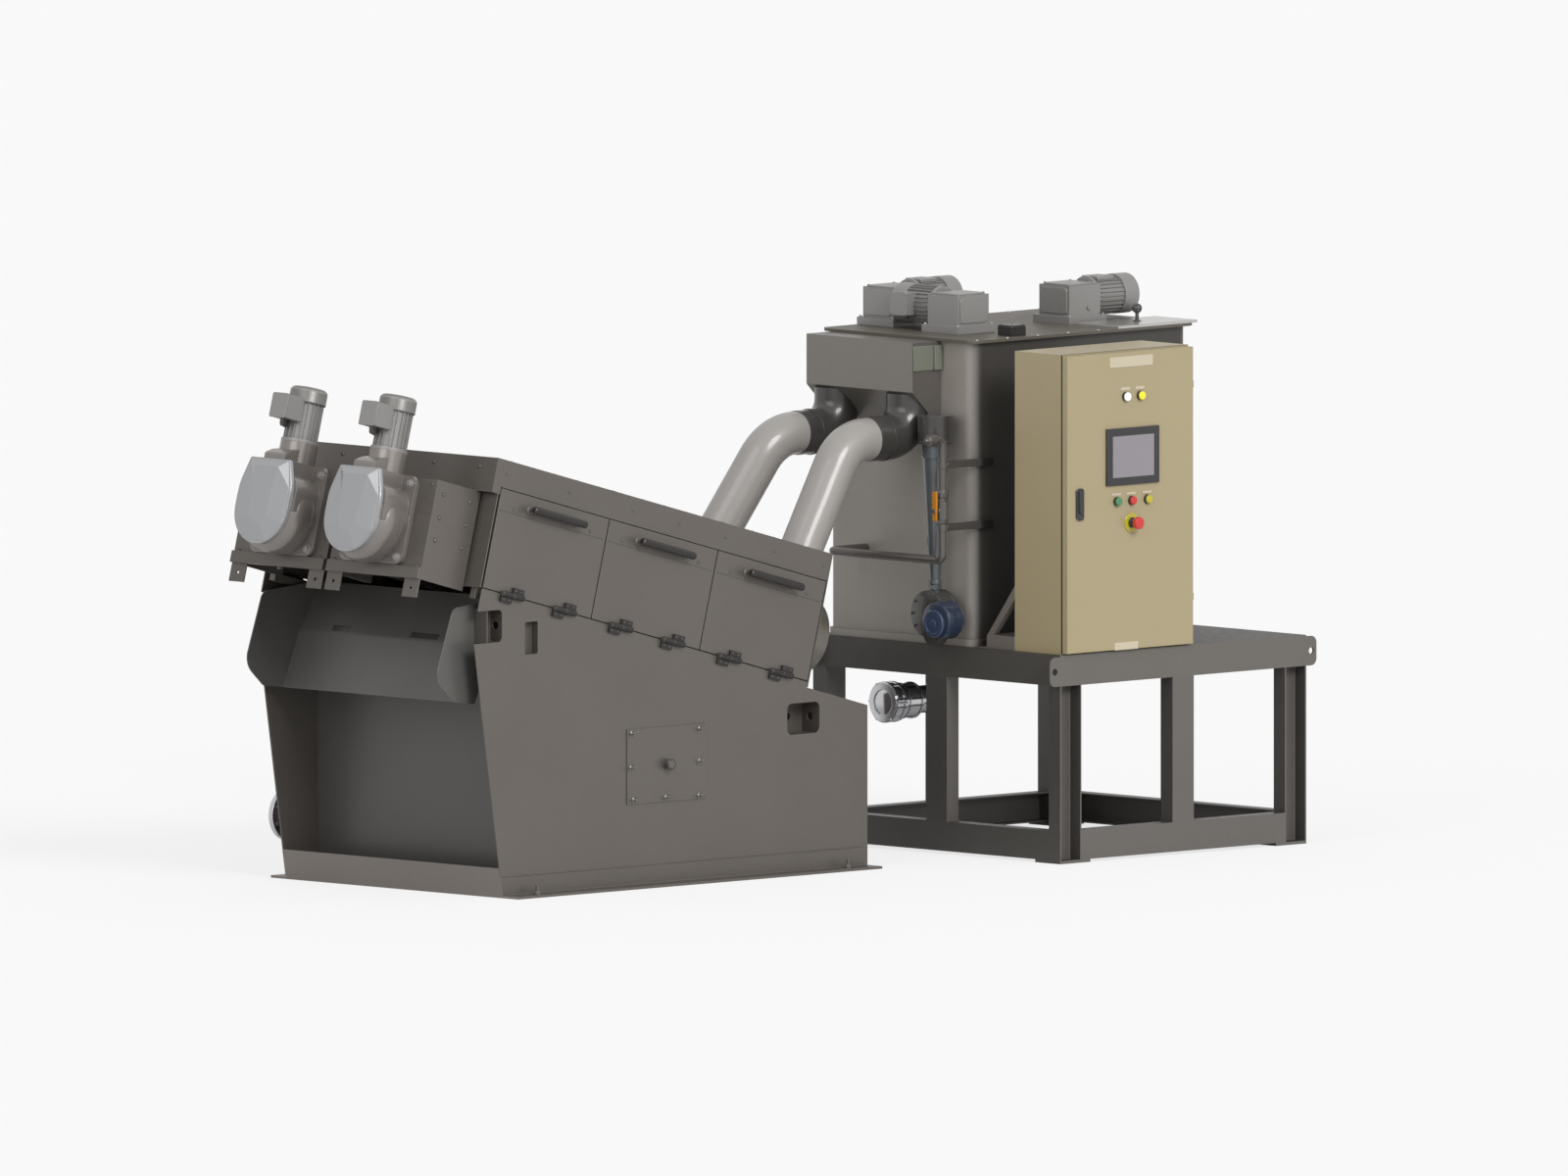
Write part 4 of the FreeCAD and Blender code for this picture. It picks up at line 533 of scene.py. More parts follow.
def roof_details():
    """Domed rivets and folded lips along the hood's top edges, the header's screws and the doors' lips."""
    lips = Shape(SLOPE)
    for y in (-0.0004, PRESS_WIDTH - 0.0036):
        lips.box((0.002, y, 0.4140), (3 * DOOR_WIDTH - 0.002, y + 0.004, 0.4178))
        lips.box((0.002, y, -0.0008), (3 * DOOR_WIDTH - 0.002, y + 0.004, 0.0030))
    add("door_lips", lips, "press_metal", bevel=0.0004)
    rivets = Shape(SLOPE)
    for y in (0.022, PRESS_WIDTH - 0.022):
        for i in range(15):
            rivets.screw((0.05 + i * 0.126, y, HOOD_TOP), (0, 0, 1), 0.006)
    for y in (0.10, 0.36, 0.62, 0.88, 1.14):
        rivets.screw((-0.046, y, 0.485), (-1, 0, 0), 0.008)
        rivets.screw((1.8815, y, 0.470), (1, 0, 0), 0.008)
    add("roof_rivets", rivets, "stand_metal", bevel=0)
    seams = Shape(SLOPE)
    for u in (DOOR_WIDTH, 2 * DOOR_WIDTH):
        seams.box((u - 0.014, 0.004, HOOD_TOP - 0.0005), (u + 0.014, PRESS_WIDTH - 0.004, HOOD_TOP + 0.0015))
    add("roof_seams", seams, "press_metal", bevel=0.0005)


def base_details():
    """Wing bolts and knob of the hatch, anchor bolts, weld runs, and the drain flange's bolts and face."""
    place = Matrix.Translation((PRESS_X, PRESS_Y, 0))
    bolts = Shape(place)
    for x, z in ((0.715, 0.617), (0.710, 0.481), (0.725, 0.351), (1.092, 0.614), (1.092, 0.485), (1.09, 0.347),
                 (0.906, 0.351)):
        wing_bolt(bolts, Vector((x, -0.0043, z)), 0.35)
    add("hatch_wing_bolts", bolts, "drum_steel", bevel=0.0004)
    knob = Shape(place)
    knob.turned((0.909, -0.004, 0.482), (0, -1, 0), ((0, 0.022), (0.004, 0.022), (0.006, 0.009), (0.014, 0.008),
                (0.018, 0.013), (0.022, 0.020), (0.028, 0.0235), (0.0296, 0.021), (0.0298, 0.008)), 32)
    add("hatch_knob", knob, "dark_plastic", bevel=0)
    anchors = Shape(place)
    for x in (0.150, PRESS_LENGTH - 0.150):
        for y in (-0.0425, PRESS_WIDTH + 0.0425):
            anchors.bolt((x, y, 0.010), (0, 0, 1), 0.012)
            anchors.rod((x, y, 0.010), (0, 0, 1), 0.007, 0.034, 16, 0.001)
    add("press_anchor_bolts", anchors, "stand_metal", bevel=0.0004)
    welds = Shape(place)
    for y in (-0.0005, PRESS_WIDTH + 0.0005):
        welds.tube([(0.01 + i * 0.04, y, 0.011) for i in range(51)], 0.004, 8)
        welds.tube([(0.0 + i * 0.04, y, TRAY_TOP) for i in range(51)], 0.0022, 8)
    add("press_welds", welds, "press_metal", bevel=0)
    ring = Shape(place)
    for i in range(8):
        angle = math.tau * (i + 0.5) / 8
        ring.bolt((0.090 + 0.085 * math.cos(angle), PRESS_WIDTH + 0.060, 0.250 + 0.085 * math.sin(angle)),
                  (0, -1, 0), 0.008)
    add("drain_flange_bolts", ring, "stand_metal", bevel=0.0004)
    flange = Shape(place)
    flange.turned((0.090, PRESS_WIDTH + 0.0595, 0.250), (0, 1, 0), ((0, 0.066), (0, 0.1048), (0.001, 0.1056),
                  (0.022, 0.1056), (0.0235, 0.1045), (0.0240, 0.064), (0.0228, 0.062)), 72)
    flange.turned((0.090, PRESS_WIDTH + 0.0815, 0.250), (0, 1, 0), ((0, 0.070), (0.0018, 0.068), (0.0022, 0.040)), 48)
    add("drain_flange_face", flange, "coupling_chrome", bevel=0)


def wing_bolt(shape, seat, turn):
    """Washer, stud and two rounded wings, standing out along -Y."""
    shape.rod(seat, (0, -1, 0), 0.011, 0.002, 20)
    shape.turned(seat, (0, -1, 0), ((0, 0.0085), (0.008, 0.0065), (0.012, 0.0045)), 16)
    shape.rod(seat, (0, -1, 0), 0.004, 0.019, 12)
    for sign in (-1, 1):
        outward = Vector((math.cos(turn), 0, math.sin(turn))) * sign
        wing = [(0.004, 0.001), (0.010, 0.006), (0.017, 0.017), (0.022, 0.020), (0.025, 0.016), (0.020, 0.007),
                (0.012, 0.001)]
        side = outward.cross(Vector((0, -1, 0)))
        shape.plate(wing, seat - side * 0.0013, 0.0026, outward, (0, -1, 0))


def front_details():
    """Fixings on the drum heads, the plates that close the slots behind them, and dark plates on the chute as painted
    shade for its slot openings.
    """
    closing = Shape(SLOPE)
    for inner, outer in ((0.001, 0.105), (PRESS_WIDTH - 0.105, PRESS_WIDTH - 0.001)):
        closing.box((-0.012, inner, 0.004), (-0.008, outer, 0.388))
    add("slot_plates", closing, "press_metal", bevel=0.0006)
    lean = Vector((0.536, 0, 0.844))
    # Painted shade: thin dark plates on the chute sheet stand for the shaded insides of two slots.
    slots = Shape()
    for y, width in ((0.459, 0.157), (0.934, 0.100)):
        seat = Vector((PRESS_X + 0.012, PRESS_Y + y, 1.0198)) + Vector((0.844, 0, -0.536)) * 0.0005
        slots.plate(rounded(width, 0.026, 0.003), seat, 0.0009, (0, -1, 0), lean)
    add("chute_slot_shade", slots, "dark_plastic", bevel=0)
    for side, middle in DRUM_LINES.items():
        screws = Shape(SLOPE)
        outer = HEAD_NEAR[side]
        sign = SIDES[side]
        face_y = outer if side == "near" else outer + HEAD_WIDTH
        for v in (0.333, 0.238, 0.146):
            screws.screw((-0.225, face_y, v), (0, sign, 0), 0.009)
            screws.screw((-0.075, face_y, v), (0, sign, 0), 0.009)
        for v in (0.030, 0.365):
            for y in (outer + 0.03, outer + HEAD_WIDTH - 0.03):
                screws.screw((HEAD_FRONT, y, v), (-1, 0, 0), 0.008)
        add(side + "_head_screws", screws, "stand_metal", bevel=0)


def drum_rings():
    """Stack of thin fixed and moving rings round each drum, with the rods that hold the fixed ones."""
    for side, middle in DRUM_LINES.items():
        rings = Shape(SLOPE)
        profile = []
        count = 128
        pitch = (RINGS_END - RINGS_START) / count
        for i in range(count):
            here = i * pitch
            tall = 0.1585 if i % 2 else 0.1560
            profile += [(here, 0.1515), (here + pitch * 0.12, 0.1515), (here + pitch * 0.14, tall),
                        (here + pitch * 0.86, tall), (here + pitch * 0.88, 0.1515)]
        rings.turned((RINGS_START, middle, DRUM_UP), (1, 0, 0), profile, 64)
        add(side + "_rings", rings, "drum_steel", bevel=0)
        rods = Shape(SLOPE)
        for turn in (45, 135, 225, 315):
            y = middle + 0.1625 * math.cos(math.radians(turn))
            v = DRUM_UP + 0.1625 * math.sin(math.radians(turn))
            rods.rod((RINGS_START - 0.008, y, v), (1, 0, 0), 0.005, RINGS_END - RINGS_START + 0.010, 16)
            rods.turned((RINGS_START - 0.020, y, v), (1, 0, 0), ((0, 0.009), (0.010, 0.0095)), 6)
        add(side + "_ring_rods", rods, "lid_steel", bevel=0)


# Gearboxes and motors on the drum heads

FACE_EDGE = ((-0.106, 0.194), (0.106, 0.194), (0.136, 0.085), (0.135, -0.057), (0.057, -0.135), (-0.057, -0.135),
             (-0.135, -0.057), (-0.136, 0.085))
FACE_FLAT = ((-0.070, 0.165), (0.070, 0.165), (0.056, 0.085), (0.050, -0.036), (0.024, -0.064), (-0.024, -0.064),
             (-0.050, -0.036), (-0.056, 0.085))


def drive_details():
    for side, middle in DRUM_LINES.items():
        bolts = Shape(SLOPE)
        for y in (-0.150, 0.150):
            for v in (-0.162, 0.138):
                bolts.bolt((HEAD_FRONT - 0.020, middle + y, DRUM_UP + v), (-1, 0, 0), 0.013)
        add(side + "_drive_bolts", bolts, "motor_paint", bevel=0.0004)
        cover = Shape(SLOPE)
        cover.plate(gear_cover_outline(0.0005), (COVER_FACE + 0.0200, middle, COVER_UP), 0.0206, (0, -1, 0), (0, 0, 1))
        add(side + "_gear_cover", cover, "gear_paint", bevel=0.003, material=GEAR_COVER)
        face = Shape(SLOPE @ Matrix.Translation((COVER_FACE, middle, COVER_UP)))
        face.skin([[face.corner((-out, y, v)) for y, v in outline] for out, outline in
                   ((0, FACE_EDGE), (0.0008, FACE_EDGE), (0.0180, FACE_FLAT))])
        add(side + "_gear_face", face, "gear_paint", bevel=0, material=GEAR_COVER).data.shade_flat()
        cap = Shape(SLOPE)
        top = MOTOR_TOP
        cap.turned((MOTOR_U, middle, top - 0.062), (0, 0, 1), ((0, 0.0755), (0.003, 0.0765), (0.006, 0.0755),
                   (0.044, 0.0755), (0.054, 0.0725), (0.060, 0.066), (0.062, 0.056), (0.0622, 0.020)), 64)
        for i in range(6):
            cap.turned((MOTOR_U, middle, top), (0, 0, 1), ((-0.0005, 0.012 + i * 0.008), (0.0012, 0.012 + i * 0.008),
                       (0.0012, 0.009 + i * 0.008), (0.0002, 0.009 + i * 0.008)), 48)
        add(side + "_fan_cover", cap, "motor_paint", bevel=0, material=FAN_PAINT)
        terminal_box(side, middle)


def softened(corners, steps=6):
    """Outline whose corners, given as (across, up, radius), are rounded."""
    outline = []
    for i, (x, y, radius) in enumerate(corners):
        here = Vector((x, y))
        back = (Vector(corners[i - 1][:2]) - here).normalized()
        ahead = (Vector(corners[(i + 1) % len(corners)][:2]) - here).normalized()
        half = back.angle(ahead) / 2
        middle = here + (back + ahead).normalized() * (radius / math.sin(half))
        first = here + back * (radius / math.tan(half)) - middle
        last = here + ahead * (radius / math.tan(half)) - middle
        for k in range(steps + 1):
            outline.append(tuple(middle + first.slerp(last, k / steps) * radius))
    return outline


def gear_cover_outline(lap):
    """Round cover squared off at the top, a little wider than the casting below it."""
    radius = 0.148 + lap
    half = 0.110 + lap
    top = 0.200 + lap
    right = [(radius, -radius, radius - 0.0005), (radius, 0.090, 0.180), (half, top, 0.010)]
    left = [(-x, z, bend) for x, z, bend in reversed(right)]
    return softened(right + left, 12)


def terminal_box(side, middle):
    """Lid with corner screws, and cable glands on the motor's terminal box."""
    lid = Shape(SLOPE)
    face = MOTOR_U - 0.144
    centre = DRUM_UP + 0.385
    lid.plate(rounded(0.090, 0.100, 0.008), (face - 0.001, middle, centre), 0.008, (0, -1, 0), (0, 0, 1))
    for y in (-0.037, 0.037):
        for v in (-0.042, 0.042):
            lid.screw((face - 0.001, middle + y, centre + v), (-1, 0, 0), 0.004)
    add(side + "_terminal_lid", lid, "motor_paint", bevel=0.0010)
    glands = Shape(SLOPE)
    for u, y in ((face + 0.030, 0.0), (face + 0.062, 0.018)):
        glands.turned((u, middle + y, centre - 0.047), (0, 0, -1), ((0, 0.014), (0.010, 0.014)), 6)
        glands.turned((u, middle + y, centre - 0.056), (0, 0, -1), ((0, 0.0125), (0.014, 0.0115), (0.022, 0.007)), 24)
    add(side + "_glands", glands, "dark_plastic", bevel=0.0004)


# Pipes between the drums and the tank

def feed_details():
    """Lips and bands where the feed pipes meet their sockets and the elbows."""
    lean = Vector((math.sin(FEED_LEAN), 0, math.cos(FEED_LEAN)))
    for side in SIDES:
        y = PRESS_Y + DRUM_LINES[side]
        axis_start = SLOPE @ Vector((0, DRUM_LINES[side], DRUM_UP))
        axis_end = SLOPE @ Vector((1, DRUM_LINES[side], DRUM_UP))
        corner = Vector((PRESS_X + 2.257, y, 1.668))
        hit = intersect_line_line(axis_start, axis_end, corner, corner + lean)[0]
        lip = Shape()
        lip.turned(hit + lean * 0.246, lean, ((0, 0.0985), (0.002, 0.1035), (0.013, 0.1035), (0.0145, 0.088)), 64)
        lip.turned(hit + lean * 0.130, lean, ((0, 0.0985), (0.002, 0.1010), (0.010, 0.1010), (0.012, 0.0985)), 64)
        add(side + "_socket_lip", lip, "drum_steel", bevel=0)
        band = Shape()
        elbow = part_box(side + "_elbow")
        outlet = (elbow[0].y + elbow[1].y) / 2
        centre_z = elbow[0].z + ELBOW_RADIUS
        start = Vector((elbow[0].x, outlet, centre_z))
        band.turned(start, (1, 0, 0), ((0.0004, 0.0865), (0.001, 0.0925), (0.011, 0.0925), (0.013, 0.0905)), 64)
        add(side + "_elbow_lip", band, "dark_plastic", bevel=0)
        cuff = Shape()
        cuff.turned(start - Vector((0.072, 0, 0)), (1, 0, 0), ((0, 0.0862), (0.001, 0.0885), (0.008, 0.0890),
                    (0.0722, 0.0890)), 64)
        add(side + "_pipe_cuff", cuff, "dark_plastic", bevel=0)


def overflow_details():
    """Rim of the overflow's collar, and rings on its funnel."""
    low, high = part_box("overflow_pipe")
    x = (low.x + high.x) / 2
    y = (low.y + high.y) / 2
    rings = Shape()
    for z, radius in ((1.600, 0.052), (low.z + 0.036, 0.0245)):
        rings.turned((x, y, z), (0, 0, 1), ((-0.010, radius - 0.001), (-0.008, radius + 0.003), (0.004, radius + 0.003),
                     (0.006, radius - 0.001)), 48)
    rings.turned((x, y, low.z + 0.004), (0, 0, 1), ((0, 0.0225), (0.001, 0.029), (0.018, 0.029), (0.020, 0.0225)), 6)
    add("overflow_rings", rings, "dark_plastic", bevel=0.0006, material=OVERFLOW)
    collar = Shape()
    collar.turned((x, y, COLLAR_LOW - 0.0005), (0, 0, 1), ((0, 0.0500), (0, 0.0704), (0.004, 0.0735), (0.012, 0.0735),
                  (0.014, 0.0706), (0.1150, 0.0706), (0.1150, 0.0690)), 48)
    add("overflow_collar_rim", collar, "dark_plastic", bevel=0.0005)


def pump_details():
    """Bolted rim, blue shell and blue end cover on the drain pump."""
    low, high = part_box("overflow_pipe")
    x = (low.x + high.x) / 2
    y = (low.y + high.y) / 2
    centre = Vector((x, y, PUMP_Z))
    case = Shape()
    for start in (-0.046, 0.030):
        case.turned(centre + Vector((start, 0, 0)), (1, 0, 0), ((0, 0.0915), (0.002, 0.0945), (0.014, 0.0945),
                    (0.016, 0.0915)), 64)
    for i in range(10):
        angle = math.tau * i / 10
        seat = centre + Vector((-0.045, 0.084 * math.cos(angle), 0.084 * math.sin(angle)))
        case.bolt(seat, (-1, 0, 0), 0.005)
    add("pump_case", case, "dark_plastic", bevel=0.0006)
    shell = Shape()
    middle = centre + Vector((-0.082, -0.084, -0.020))
    shell.turned(middle, (1, 0, 0), ((0, 0.066), (0.004, 0.074), (0.012, 0.077), (0.046, 0.077)), 56)
    shell.turned(middle + Vector((0.044, 0.015, 0)), (1, 0, 0), ((0, 0.070), (0.050, 0.078), (0.080, 0.060)), 56)
    add("pump_shell", shell, "dark_plastic", bevel=0, material=BLUE)
    cover = Shape()
    seat = middle + Vector((0, 0.004, -0.012))
    cover.turned(seat, (-1, 0, 0), ((-0.004, 0.056), (0.006, 0.056), (0.010, 0.052), (0.0105, 0.040), (0.009, 0.038),
                 (0.009, 0.016), (0.011, 0.014), (0.0112, 0.004)), 48)
    add("pump_cover", cover, "dark_plastic", bevel=0, material=PUMP_END)


def water_pipe_details():
    """Hexagon unions, valve body ends, spray nozzle and clamp screws of the water pipe."""
    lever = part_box("valve_lever")
    x = lever[0].x + 0.045
    y = (lever[0].y + lever[1].y) / 2
    nuts = Shape()
    for z in (VALVE_Z - 0.050, VALVE_Z + 0.032):
        nuts.turned((x, y, z), (0, 0, 1), ((0, 0.024), (0.002, 0.026), (0.016, 0.026), (0.018, 0.024)), 6)
    nuts.turned((x, y, VALVE_Z + 0.055), (0, 0, 1), ((0, 0.0265), (0.002, 0.028), (0.022, 0.028), (0.025, 0.0265)), 6)
    nuts.turned((x - 0.030, y, VALVE_Z), (1, 0, 0), ((0, 0.013), (0.014, 0.015)), 24)
    nuts.turned((x - 0.078, y, NOZZLE_Z), (1, 0, 0), ((0, 0.014), (0.004, 0.020), (0.020, 0.0255), (0.036, 0.0255),
                (0.038, 0.018)), 6)
    nuts.turned((x - 0.098, y, NOZZLE_Z), (1, 0, 0), ((0, 0.006), (0.006, 0.009), (0.022, 0.012)), 20)
    add("water_pipe_unions", nuts, "water_steel", bevel=0.0008)
    clamps = Shape()
    for z in (1.325, 1.575):
        clamps.turned((x, y, z - 0.012), (0, 0, 1), ((0, 0.0175), (0.001, 0.0205), (0.023, 0.0205), (0.024, 0.0175)), 28)
        clamps.bolt((x + 0.040, TANK_LOW_Y - 0.018, z), (0, -1, 0), 0.006)
    add("water_pipe_clamps", clamps, "water_steel", bevel=0.0004)
    saddles = Shape()
    for z in (1.310, 1.560):
        saddles.box((x + 0.226, y - 0.0005, z - 0.0008), (x + 0.2865, y + 0.0185, z + 0.0308))
    add("water_pipe_saddles", saddles, "dark_plastic", bevel=0.0006, material=SLEEVE)
    boss = Shape()
    boss.bolt((lever[0].x, y, VALVE_Z), (-1, 0, 0), 0.0065)
    add("lever_nut", boss, "lid_steel", "valve_lever", 0.0004)
    grip = Shape()
    grip.plate(rounded(0.024, 0.080, 0.008), (lever[0].x - 0.0022, y, lever[1].z - 0.0402), 0.0104, (0, 1, 0), (0, 0, 1))
    add("lever_grip", grip, "lever_paint", "valve_lever", 0.002)


def coupling_details():
    """Rings, ring bolts and bands at the drain coupling's mouth."""
    low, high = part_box("drain_coupling")
    y = (low.y + high.y) / 2
    z = DRAIN_Z
    ring = Shape()
    for step in (0.004, 0.046):
        ring.turned((low.x + step, y, z), (1, 0, 0), ((0, 0.0775), (0.002, 0.0825), (0.012, 0.0825), (0.014, 0.0775)), 64)
    for i in range(6):
        angle = math.tau * i / 6
        aside = Vector((0, math.cos(angle), math.sin(angle)))
        centre = Vector((low.x + 0.031, y, z)) + aside * 0.0785
        ring.rod(centre - Vector((0.030, 0, 0)), (1, 0, 0), 0.0055, 0.062, 16, 0.0008)
    for step in (0.085, 0.150):
        ring.turned((low.x + step, y, z), (1, 0, 0), ((0, 0.0705), (0.002, 0.0740), (0.008, 0.0740), (0.010, 0.0705)), 64)
    add("coupling_rings", ring, "coupling_chrome", bevel=0)


# Tank, mixers and what stands on the cover

def tank_details():
    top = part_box("tank_cover")[1].z
    low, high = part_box("tank_cover")
    screws = Shape()
    for i in range(8):
        x = low.x + 0.03 + (high.x - low.x - 0.06) * i / 7
        for y in (low.y + 0.012, high.y - 0.012):
            if y < 0 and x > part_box("tank_lid")[0].x - 0.02:
                continue
            screws.screw((x, y, top), (0, 0, 1), 0.006)
    add("cover_screws", screws, "lid_steel", bevel=0)
    lid_low, lid_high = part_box("tank_lid")
    middle = Vector(((lid_low.x + lid_high.x) / 2, (lid_low.y + lid_high.y) / 2, 0))
    plate = Shape()
    plate.plate(rounded(0.437, 0.240, 0.004), middle + Vector((0, 0, top + 0.0098)), 0.0008, (1, 0, 0), (0, 1, 0))
    add("lid_face", plate, "lid_steel", bevel=0)
    knob = Shape()
    base = middle + Vector((0, 0, top + 0.0100))
    knob.turned(base, (0, 0, 1), ((0, 0.016), (0.004, 0.016), (0.006, 0.008), (0.030, 0.0068), (0.036, 0.009)), 28)
    profile = []
    for i in range(13):
        angle = math.radians(-80 + 160 * i / 12)
        profile.append((0.052 + 0.0203 * math.sin(angle), 0.0203 * math.cos(angle)))
    knob.turned(base, (0, 0, 1), profile, 32)
    add("lid_knob", knob, "dark_plastic", bevel=0)
    sensor = Shape()
    s_low, s_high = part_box("level_sensor")
    centre = (s_low + s_high) / 2
    sensor.plate(rounded(0.080, 0.080, 0.010), (centre.x, centre.y, s_high.z - 0.012), 0.0128, (1, 0, 0), (0, 1, 0))
    for x in (-0.030, 0.030):
        for y in (-0.030, 0.030):
            sensor.screw((centre.x + x, centre.y + y, s_high.z + 0.0006), (0, 0, 1), 0.004)
    sensor.turned((s_high.x, centre.y - 0.012, s_low.z + 0.020), (1, 0, 0), ((-0.001, 0.013), (0.010, 0.013)), 6)
    sensor.turned((s_high.x + 0.009, centre.y - 0.012, s_low.z + 0.020), (1, 0, 0), ((0, 0.011), (0.012, 0.008)), 20)
    sensor.box((s_low.x - 0.0008, s_low.y - 0.0008, s_low.z), (s_high.x + 0.0008, s_high.y + 0.0008, s_high.z - 0.006))
    add("sensor_cover", sensor, "dark_plastic", bevel=0.001, material=SLEEVE)
    box_low, box_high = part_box("weir_box")
    panel = Shape()
    y = box_low.y
    panel.box((box_low.x + 0.002, y - 0.006, 1.935), (box_high.x - 0.0475, y + 0.0005, 2.035))
    panel.box((box_high.x - 0.0465, y - 0.014, 1.935), (box_high.x - 0.004, y + 0.0005, 2.035))
    add("weir_terminal", panel, "bracket_paint", bevel=0.002, material=JUNCTION)
    seams = Shape()
    for x in (box_low.x + 0.0006,):
        seams.box((x - 0.0012, y - 0.0014, 1.86), (x + 0.0012, y + 0.0005, 2.046))
    add("weir_seams", seams, "stand_metal", bevel=0)


def mixer_details():
    """Foot bolts, lid, oil plugs, ribs and fan cover on each mixer drive."""
    cover_low, cover_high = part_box("tank")
    wall_low = Vector((cover_low.x + 0.012, cover_low.y + 0.012, 0))
    wall_high = Vector((cover_high.x - 0.012, cover_high.y - 0.012, 0))
    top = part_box("tank_cover")[1].z
    places = (("front_mixer", wall_low.x + 0.240, wall_low.y + 0.335, 90),
              ("rear_mixer", wall_high.x - 0.319, wall_low.y + 0.350, 0),
              ("side_mixer", wall_low.x + 0.290, wall_high.y - 0.078, 0))
    for name, x, y, turn in places:
        place = Matrix.Translation((x, y, top)) @ Matrix.Rotation(math.radians(turn), 4, "Z")
        bolts = Shape(place)
        for a in (-0.093, 0.093):
            for b in (-0.093, 0.093):
                bolts.bolt((a, b, 0.030), (0, 0, 1), 0.006)
        for a in (-0.070, 0.070):
            for b in (-0.070, 0.070):
                bolts.screw((a, b, 0.158), (0, 0, 1), 0.006)
                bolts.screw((-0.0865, b, 0.090 + a * 0.6), (-1, 0, 0), 0.006)
        bolts.turned((0.02, -0.0865, 0.060), (0, -1, 0), ((0, 0.011), (0.007, 0.010)), 6)
        add(name + "_bolts", bolts, "motor_paint", bevel=0.0003)
        lids = Shape(place)
        lids.plate(rounded(0.158, 0.158, 0.016), (0, 0, 0.1515), 0.0066, (1, 0, 0), (0, 1, 0))
        lids.plate(rounded(0.150, 0.104, 0.016), (-0.0855, 0, 0.092), 0.006, (0, -1, 0), (0, 0, 1))
        lids.rod((0.085, 0, 0.098), (1, 0, 0), 0.079, 0.014, 64, 0.002)
        add(name + "_lids", lids, "motor_paint", bevel=0.0015)
        ribs = Shape()
        for i in range(28):
            ribs.place = place @ Matrix.Translation((0, 0, 0.098)) @ Matrix.Rotation(math.tau * i / 28, 4, "X")
            ribs.box((0.104, -0.0013, 0.070), (0.234, 0.0013, 0.0795))
        add(name + "_ribs", ribs, "motor_paint", bevel=0)
        fan = Shape(place)
        fan.turned((0.2355, 0, 0.0978), (1, 0, 0), ((0, 0.0795), (0.002, 0.0802), (0.006, 0.0802), (0.056, 0.0802),
                   (0.068, 0.0775), (0.0745, 0.070), (0.0760, 0.060), (0.0760, 0.020)), 64)
        for i in range(5):
            fan.turned((0.3112, 0, 0.098), (1, 0, 0), ((-0.0005, 0.018 + i * 0.009), (0.0014, 0.018 + i * 0.009),
                       (0.0014, 0.0145 + i * 0.009), (0.0002, 0.0145 + i * 0.009)), 48)
        add(name + "_fan_cover", fan, "motor_paint", bevel=0)
        box_shape = Shape(place)
        if name != "front_mixer":
            box_shape.box((0.110, -0.046, 0.160), (0.200, 0.046, 0.1765))
            add(name + "_terminal", box_shape, "motor_paint", bevel=0.003)
        else:
            box_shape.plate(rounded(0.094, 0.094, 0.008), (0.221, 0.112, 0.105), 0.0065, (-1, 0, 0), (0, 0, 1))
            for a in (-0.038, 0.038):
                for c in (-0.038, 0.038):
                    box_shape.screw((0.221 + a, 0.1185, 0.105 + c), (0, 1, 0), 0.004)
            add(name + "_terminal", box_shape, "motor_paint", bevel=0.001)


# Cabinet

def cabinet_point(x, z, out=0.0):
    return Vector((CABINET_LEFT + x, CABINET_FRONT - out, DECK_TOP + z))


